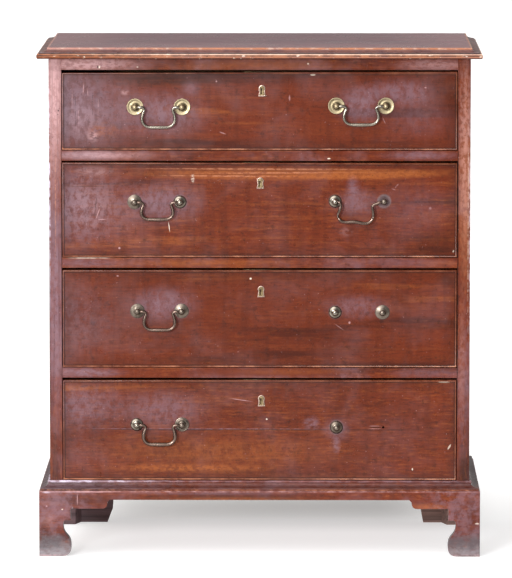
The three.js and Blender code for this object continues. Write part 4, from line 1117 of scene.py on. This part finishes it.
def keyhole_fittings(drawer, thread_brass, lock_brass):
    """The brass thread that lines a keyhole, the lock's face behind it and its pin."""
    sizes = bpy.context.scene.chest_fittings
    bead_proud = 2.5 * MM
    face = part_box(f"drawer_{drawer}_front")[0].y + bead_proud
    x, z = (value * MM for value in KEYHOLE_FOOT[drawer])
    width = sizes.thread_width
    tight = 0.05 * MM
    outer = keyhole_outline(**shrunk(KEYHOLE, tight))
    outer = [(u, v + tight) for u, v in outer]
    inner = [(u, v + width) for u, v in keyhole_outline(**shrunk(KEYHOLE, width))]
    depth = 5 * MM
    middle = Vector((x, face - sizes.thread_proud + depth / 2, z))
    bm = plate(f"thread_{drawer}", [outer, inner], depth, 0.35 * MM, middle)
    body = f"drawer_{drawer}"
    thread = finished(f"escutcheon_thread_{drawer}", bm, thread_brass, body)
    # The thread is darker towards its right side, a painted shade away from the light on the left.
    half = KEYHOLE["width"] / 2
    fully_dark = 30 * MM
    tarnish_and_shade_by_place(thread, lambda spot, normal: 0.1 + (spot.x - x + half) / fully_dark)

    slot_inset = width + 2.3 * MM
    slot = {"width": 2.0 * MM, "height": 12.4 * MM, "head": 3.4 * MM, "waist": 1.4 * MM}
    aside = -1.2 * MM
    hole = [(u + aside, v + slot_inset) for u, v in keyhole_outline(**slot)]
    plate_depth = 1.2 * MM
    middle = Vector((x, face + sizes.lock_depth + plate_depth / 2, z))
    reach = width - 0.3 * MM
    under = [(u, v + reach) for u, v in keyhole_outline(**shrunk(KEYHOLE, reach))]
    bm = plate(f"lock_face_{drawer}", [under, hole], plate_depth, 0.15 * MM, middle)
    finished(f"lock_face_{drawer}", bm, lock_brass, body)

    bm = bmesh.new()
    pin = 1.2 * MM
    profile = [(0, -3 * MM), (pin, -3 * MM), (pin, 1.4 * MM), (pin * 0.7, 1.9 * MM), (0, 2 * MM)]
    pin_height = 11 * MM
    turned(bm, profile, 12, Vector((x + aside, face + sizes.lock_depth, z + slot_inset + pin_height)))
    finished(f"lock_pin_{drawer}", bm, old_iron(f"Wrought iron, lock pin {drawer}"), body)


def lock_case(drawer, iron, lock_brass):
    """The lock inside a drawer: an iron case with its cap, screws and bolt, and the brass plate let
    into the front's top edge."""
    sizes = bpy.context.scene.chest_fittings
    low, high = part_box(f"drawer_{drawer}_front")
    body = f"drawer_{drawer}"
    x = KEYHOLE_FOOT[drawer][0] * MM
    left, right = (lift * MM for lift in TOP_LIFTS[drawer])
    top = high.z + (left + right) / 2
    half = sizes.lock_width / 2
    foot = top - 4 * MM - sizes.lock_height
    plate_depth = 1.6 * MM
    case_half = half * 0.8
    case_depth = 9 * MM
    bm = bmesh.new()
    block(bm, (x - half, high.y, foot), (x + half, high.y + plate_depth, top - 1 * MM))
    case_foot = (x - case_half, high.y + plate_depth, foot + 4 * MM)
    block(bm, case_foot, (x + case_half, high.y + case_depth, top - 5 * MM))
    round_edges(bm, bm.edges[:], 0.5 * MM)
    screw_inset = 5 * MM
    screw_radii = (2.9 * MM, 2.3 * MM)
    for side in (-0.9, 0.9):
        for level in (screw_inset, sizes.lock_height - screw_inset):
            screw = (x + half * side, high.y + 2.0 * MM, foot + level)
            stud(bm, screw, -math.pi / 2, "X", 14, screw_radii, 1.2 * MM)
    bmesh.ops.recalc_face_normals(bm, faces=bm.faces)
    finished(f"lock_case_{drawer}", bm, iron, body)

    # Each as its half width, how far it lies in from the front and the back, its reach under and over
    # the front's top edge, and its rounding.
    plates = (
        ("edge_plate", lock_brass, half, 12 * MM, 1 * MM, 1.2 * MM, 0.25 * MM, 0.2 * MM),
        ("bolt", iron, 11 * MM, 15 * MM, 3 * MM, 2 * MM, 0.6 * MM, 0.3 * MM),
    )
    for name, metal, reach, near, far, under, over, rounding in plates:
        bm = bmesh.new()
        block(bm, (x - reach, low.y + near, top - under), (x + reach, high.y - far, top + over))
        round_edges(bm, bm.edges[:], rounding)
        finished(f"lock_{name}_{drawer}", bm, metal, body)


class CHEST_OT_locks(bpy.types.Operator):
    """Build the keyhole linings and the locks"""

    bl_idname = "chest.locks"
    bl_label = "Locks"

    def execute(self, context):
        metal = context.scene.chest_brass
        thread = brass("Cast brass, keyhole thread", metal.pink, 0.25, 0.3)
        face = brass("Cast brass, lock face", metal.olive, 0.3, 0.5)
        iron = old_iron("Wrought iron, locks")
        for drawer in DRAWERS:
            keyhole_fittings(drawer, thread, face)
            lock_case(drawer, iron, face)
        return {"FINISHED"}


# The handles

# A rose's section from its rim to the post, as pairs of a radius and a height in mm.
ROSES = {
    "dished": (
        (17.6, 0), (17.6, 1.1), (17.2, 1.7), (16.4, 1.8), (15.0, 1.5), (12.6, 1.1), (10.6, 1.0), (9.6, 1.3),
        (8.8, 1.9), (7.8, 2.0), (7.2, 1.5), (6.4, 1.8), (5.6, 2.8), (4.4, 3.2), (3.4, 3.4),
    ),
    "domed": (
        (13.8, 0), (13.8, 0.8), (13.5, 1.2), (13.2, 2.0), (12.4, 3.2), (11.2, 4.4), (9.6, 5.5), (7.8, 6.3),
        (6.0, 6.8), (4.8, 7.0), (3.4, 7.1),
    ),
    "flat": (
        (15.2, 0), (15.2, 0.8), (14.7, 1.3), (13.6, 1.7), (11.8, 2.3), (10.0, 2.9), (8.2, 3.4), (6.2, 3.8),
        (4.6, 4.0), (3.4, 4.1),
    ),
    "ringed": (
        (15.2, 0), (15.2, 1.0), (14.6, 1.7), (13.6, 2.0), (12.8, 1.7), (12.2, 1.4), (11.2, 1.7), (10.2, 2.6),
        (9.4, 2.6), (8.8, 2.1), (7.6, 2.9), (6.0, 3.7), (4.6, 4.0), (3.4, 4.1),
    ),
    "bare": ((3.2, 0), (3.2, 0.4)),
}
# The posts that their bail's pin enters from the right.
PIN_AT_RIGHT = ("left_outer", "right_inner")
# How far out a bail's pivot is, and the ball and the neck that carry it.
PIVOT_OUT = 14.5 * MM
BALL_RADIUS = 6.3 * MM
NECK_RADIUS = 3.2 * MM
# Where the dark ring at a ball's foot lies and how wide it spreads, and where a rose's rim begins.
ROOT_RADIUS = 7.2 * MM
ROOT_SPREAD = 1.4 * MM
RIM_RADIUS = 9 * MM
# The hole in a ball for the bail's pin.
PIN_HOLE_RADIUS = 2.6 * MM
PIN_HOLE_DEPTH = 7 * MM
# How much fuller a bail is than the CAD's, in mm: its pins, its wire and its swell beside the balls,
# and how far outside the balls the pins and the swell end.
PIN_FULLER = 0.16
WIRE_FULLER = 0.95
SWELL = 1.1
PIN_LENGTH = 3 * MM
SWELL_LENGTH = 12 * MM
# The wire is a little flat, so that it clears the front when the bail lies against it.
WIRE_FLATNESS = 0.78


def post_profile(kind):
    """A post's section from its tip inside the drawer to the front of its ball."""
    inside = [
        (0, -27.2), (1.8, -27.2), (2.2, -26.8), (2.2, -23.2), (4.2, -23.2), (4.8, -22.8), (4.8, -20.4),
        (4.2, -20.0), (2.2, -20.0), (2.2, 0),
    ]
    profile = [(radius * MM, out * MM) for radius, out in inside + list(ROSES[kind])]
    start = math.asin(NECK_RADIUS / BALL_RADIUS)
    steps = 12
    profile.append((NECK_RADIUS, profile[-1][1] + 0.4 * MM))
    for i in range(steps):
        angle = start + (math.pi - start) * i / steps
        profile.append((BALL_RADIUS * math.sin(angle), PIVOT_OUT - BALL_RADIUS * math.cos(angle)))
    profile.append((0, PIVOT_OUT + BALL_RADIUS))
    return profile


def bored(bm, centre, side):
    """Cuts the pin's hole into the ball of a post."""
    ball = bpy.data.meshes.new("post blank")
    bm.to_mesh(ball)
    blank = link("post blank", ball)
    drill = bmesh.new()
    depth = PIN_HOLE_DEPTH + BALL_RADIUS
    start = BALL_RADIUS - PIN_HOLE_DEPTH
    middle = centre + Vector((side * (start + depth / 2), 0, 0))
    stud(drill, middle, math.pi / 2, "Y", 20, (PIN_HOLE_RADIUS, PIN_HOLE_RADIUS), depth)
    cutter = link("post drill", bpy.data.meshes.new("post drill"))
    drill.to_mesh(cutter.data)
    drill.free()
    cut = blank.modifiers.new("Pin hole", "BOOLEAN")
    cut.operation = "DIFFERENCE"
    cut.solver = "EXACT"
    cut.object = cutter
    graph = bpy.context.evaluated_depsgraph_get()
    whole = bpy.data.meshes.new_from_object(blank.evaluated_get(graph))
    bm.clear()
    bm.from_mesh(whole)
    bpy.data.objects.remove(blank)
    bpy.data.objects.remove(cutter)
    bpy.data.meshes.remove(whole)
    bmesh.ops.remove_doubles(bm, verts=bm.verts, dist=WELD / 4)


def tarnish_and_shade_by_place(obj, depth):
    """Writes how dark the tarnish and the painted shade are at each corner, from a function of the corner
    and its normal.
    """
    layer = obj.data.attributes.new("hollow", "FLOAT", "POINT")
    for vertex, value in zip(obj.data.vertices, layer.data):
        value.value = min(1, max(0, depth(vertex.co, vertex.normal)))


def post_tarnish(centre):
    """The tarnish and the painted shade of a post: tarnish dark round the ball's foot, and painted shade on
    the rim's sloping sides and low on the side away from the light."""

    def depth(spot, normal):
        away = spot - centre
        radius = math.hypot(away.x, away.z)
        root = 0.9 * math.exp(-(((radius - ROOT_RADIUS) / ROOT_SPREAD) ** 2))
        # Painted shade on the rim's sloping sides, and low on the side away from the light.
        rim = 0.5 * (1 - max(0, -normal.y)) * (radius > RIM_RADIUS)
        shaded_side = max(0, normal.x * 0.6 - normal.z * 0.8)
        return root + rim + shaded_side

    return depth


def bail_tarnish(normal):
    """Painted shade on a bail by the way its wire faces: the front is left bright, the back half as bright
    and the sides of the wire dark."""
    # How bright the painted shade leaves each side: the front fully, the back half.
    rubbed = 1 if normal.y < 0 else 0.5
    return 1 - rubbed * normal.y**2


class CHEST_OT_posts(bpy.types.Operator):
    """Build the turned posts with their roses, shanks and nuts"""

    bl_idname = "chest.posts"
    bl_label = "Posts and roses"

    def execute(self, context):
        metal = context.scene.chest_brass
        finishes = {
            "bright": brass("Turned brass, bright", metal.bright, 0.15, 0.4),
            "polished": brass("Turned brass, polished", metal.silvered, 0.3, 0.2),
            "dull": brass("Turned brass, dull", metal.dull, 0.4, 0.32),
            "dark": brass("Turned brass, dark", metal.dull, 0.75, 0.45),
        }
        for name, post in POSTS.items():
            node = f"post_{name}"
            place = centre_of(node)
            place.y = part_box(node)[0].y + PIVOT_OUT + BALL_RADIUS
            bm = bmesh.new()
            turned(bm, post_profile(post.rose), 40, place)
            bored(bm, place - Vector((0, PIVOT_OUT, 0)), 1 if name.endswith(PIN_AT_RIGHT) else -1)
            piece = stand_in(node, "turned", bm, finishes[post.brass])
            # Tarnish at the ball's foot, and painted shade on the rim and on the side away from the light.
            tarnish_and_shade_by_place(piece, post_tarnish(place))
        return {"FINISHED"}


class CHEST_OT_bails(bpy.types.Operator):
    """Build the swan neck bails"""

    bl_idname = "chest.bails"
    bl_label = "Bails"

    def execute(self, context):
        metal = context.scene.chest_brass
        bright = brass("Cast brass, bright bails", metal.silvered, 0.35, 0.24)
        dull = brass("Cast brass, dull bails", metal.aged, 0.5, 0.28)
        for name in ("1_left", "1_right", "2_left", "2_right", "3_left", "4_left"):
            node = f"bail_{name}"
            ends = [centre_of(post).x for post in frame["nodes"] if post.startswith(f"post_{name}")]
            bm = bmesh.new()
            bm.from_mesh(frame["nodes"][node].data)
            bmesh.ops.remove_doubles(bm, verts=bm.verts, dist=WELD)
            bm.normal_update()
            for vertex in bm.verts:
                out = min(abs(vertex.co.x - end) for end in ends) - BALL_RADIUS
                fullness = min(1, max(0, out / PIN_LENGTH))
                swell = max(0, 1 - out / SWELL_LENGTH) * fullness
                push = vertex.normal * (PIN_FULLER + WIRE_FULLER * fullness + SWELL * swell) * MM
                push.y *= WIRE_FLATNESS
                vertex.co += push
            finish = bright if name.startswith("1") else dull
            piece = stand_in(node, "cast", bm, finish, math.radians(60))
            # Painted shade by the way the wire faces.
            tarnish_and_shade_by_place(piece, lambda spot, normal: bail_tarnish(normal))
            smooth = piece.modifiers.new("Round wire", "SUBSURF")
            smooth.levels = 2
            smooth.render_levels = 2
        return {"FINISHED"}


# The stage


def aimed(obj, spot, target):
    """Places a lamp or a camera and points it at its target."""
    obj.location = spot
    obj.rotation_euler = (target - spot).to_track_quat("-Z", "Y").to_euler()


class CHEST_OT_stage(bpy.types.Operator):
    """Set the floor, the lights and the camera"""

    bl_idname = "chest.stage"
    bl_label = "Stage"

    def execute(self, context):
        scene = context.scene
        stage = scene.chest_stage
        material, tree, shader, place = surface("Opal acrylic floor, lit from below")
        tone = (FADE, cloud(tree, place, 0.6, 2), 0.3, 0.7, 0.985, 1)
        # A painted shadow: the floor's glow is dimmed just behind the chest, where the chest's shadow falls.
        x, y = (add(tree, AXES, place, take=axis) for axis in "XY")
        dim = (TIMES, ridge(tree, y, 50, 500, 900, 2200), (FADE, (SIZE, x), 0.55, 0.25, 0, 0.75))
        set_inputs(tree, shader, {
            "Base Color": (STRETCH, tuple(stage.floor), tone),
            "Roughness": 0.9,
            "Specular IOR Level": 0.1,
            "Emission Color": (1, 1, 1),
            "Emission Strength": (TIMES, (LESS, 1.0, dim), stage.glow),
        })
        # The floor starts a little ahead of the chest, so that its glow isn't reflected in the front.
        half = 60
        ahead = 2
        place = Matrix.Translation((0, half - ahead, 0))
        bm = bmesh.new()
        bmesh.ops.create_grid(bm, x_segments=1, y_segments=1, size=half, matrix=place)
        mesh = bpy.data.meshes.new("studio_floor")
        bm.to_mesh(mesh)
        bm.free()
        mesh.materials.append(material)
        link("studio_floor", mesh)

        scene.world = bpy.data.worlds.new("Soft studio light")
        scene.world.use_nodes = True
        tree = scene.world.node_tree
        around = add(tree, PLACE, take="Generated")
        above = add(tree, FACING, around, (-0.5, -0.5, 0.7), take="Value")
        glow = (FADE, above, 0.68, 1.0, stage.room, stage.sky)
        set_inputs(tree, tree.nodes["Background"], {"Color": (1, 1, 1), "Strength": glow})

        lamp = bpy.data.lights.new("key_light", "AREA")
        lamp.shape = "SQUARE"
        lamp.size = 1.0
        lamp.energy = stage.key
        lamp.color = linear("#f4fbff")
        aimed(link("key_light", lamp), Vector((-1.9, -6.3, 1.8)), Vector((0, -0.1, 0.55)))

        camera = bpy.data.cameras.new("photograph_camera")
        camera.sensor_fit = "VERTICAL"
        camera.sensor_height = 36
        camera.lens = stage.lens
        camera.clip_end = 200
        scene.camera = link("photograph_camera", camera)
        aimed(scene.camera, Vector((0.0931, -11.8028, 1.8735)), Vector((-0.0076, -0.22275, 0.5684)))
        scene.view_settings.view_transform = "Standard"
        return {"FINISHED"}


# The add-on

OPERATORS = (
    CHEST_OT_top,
    CHEST_OT_case,
    CHEST_OT_base,
    CHEST_OT_back,
    CHEST_OT_drawers,
    CHEST_OT_locks,
    CHEST_OT_posts,
    CHEST_OT_bails,
    CHEST_OT_stage,
)
GROUPS = {
    "chest_wood": WoodFinish,
    "chest_brass": BrassFinish,
    "chest_fittings": FittingSizes,
    "chest_stage": StageSettings,
}


class CHEST_PT_panel(bpy.types.Panel):
    """The chest's pieces, sizes and colours"""

    bl_idname = "CHEST_PT_panel"
    bl_label = "Chest of drawers"
    bl_space_type = "VIEW_3D"
    bl_region_type = "UI"
    bl_category = "Chest"

    def draw(self, context):
        for operator in OPERATORS:
            self.layout.operator(operator.bl_idname)
        for name, group in GROUPS.items():
            box = self.layout.box()
            for value in group.__annotations__:
                box.prop(getattr(context.scene, name), value)


def register():
    for group in GROUPS.values():
        bpy.utils.register_class(group)
    for name, group in GROUPS.items():
        setattr(bpy.types.Scene, name, bpy.props.PointerProperty(type=group))
    for operator in OPERATORS:
        bpy.utils.register_class(operator)
    bpy.utils.register_class(CHEST_PT_panel)


def unregister():
    bpy.utils.unregister_class(CHEST_PT_panel)
    for operator in reversed(OPERATORS):
        bpy.utils.unregister_class(operator)
    for name, group in GROUPS.items():
        delattr(bpy.types.Scene, name)
        bpy.utils.unregister_class(group)


def main():
    """Finishes the whole chest."""
    register()
    for operator in OPERATORS:
        group, name = operator.bl_idname.split(".")
        getattr(getattr(bpy.ops, group), name)()


if __name__ == "__main__":
    main()
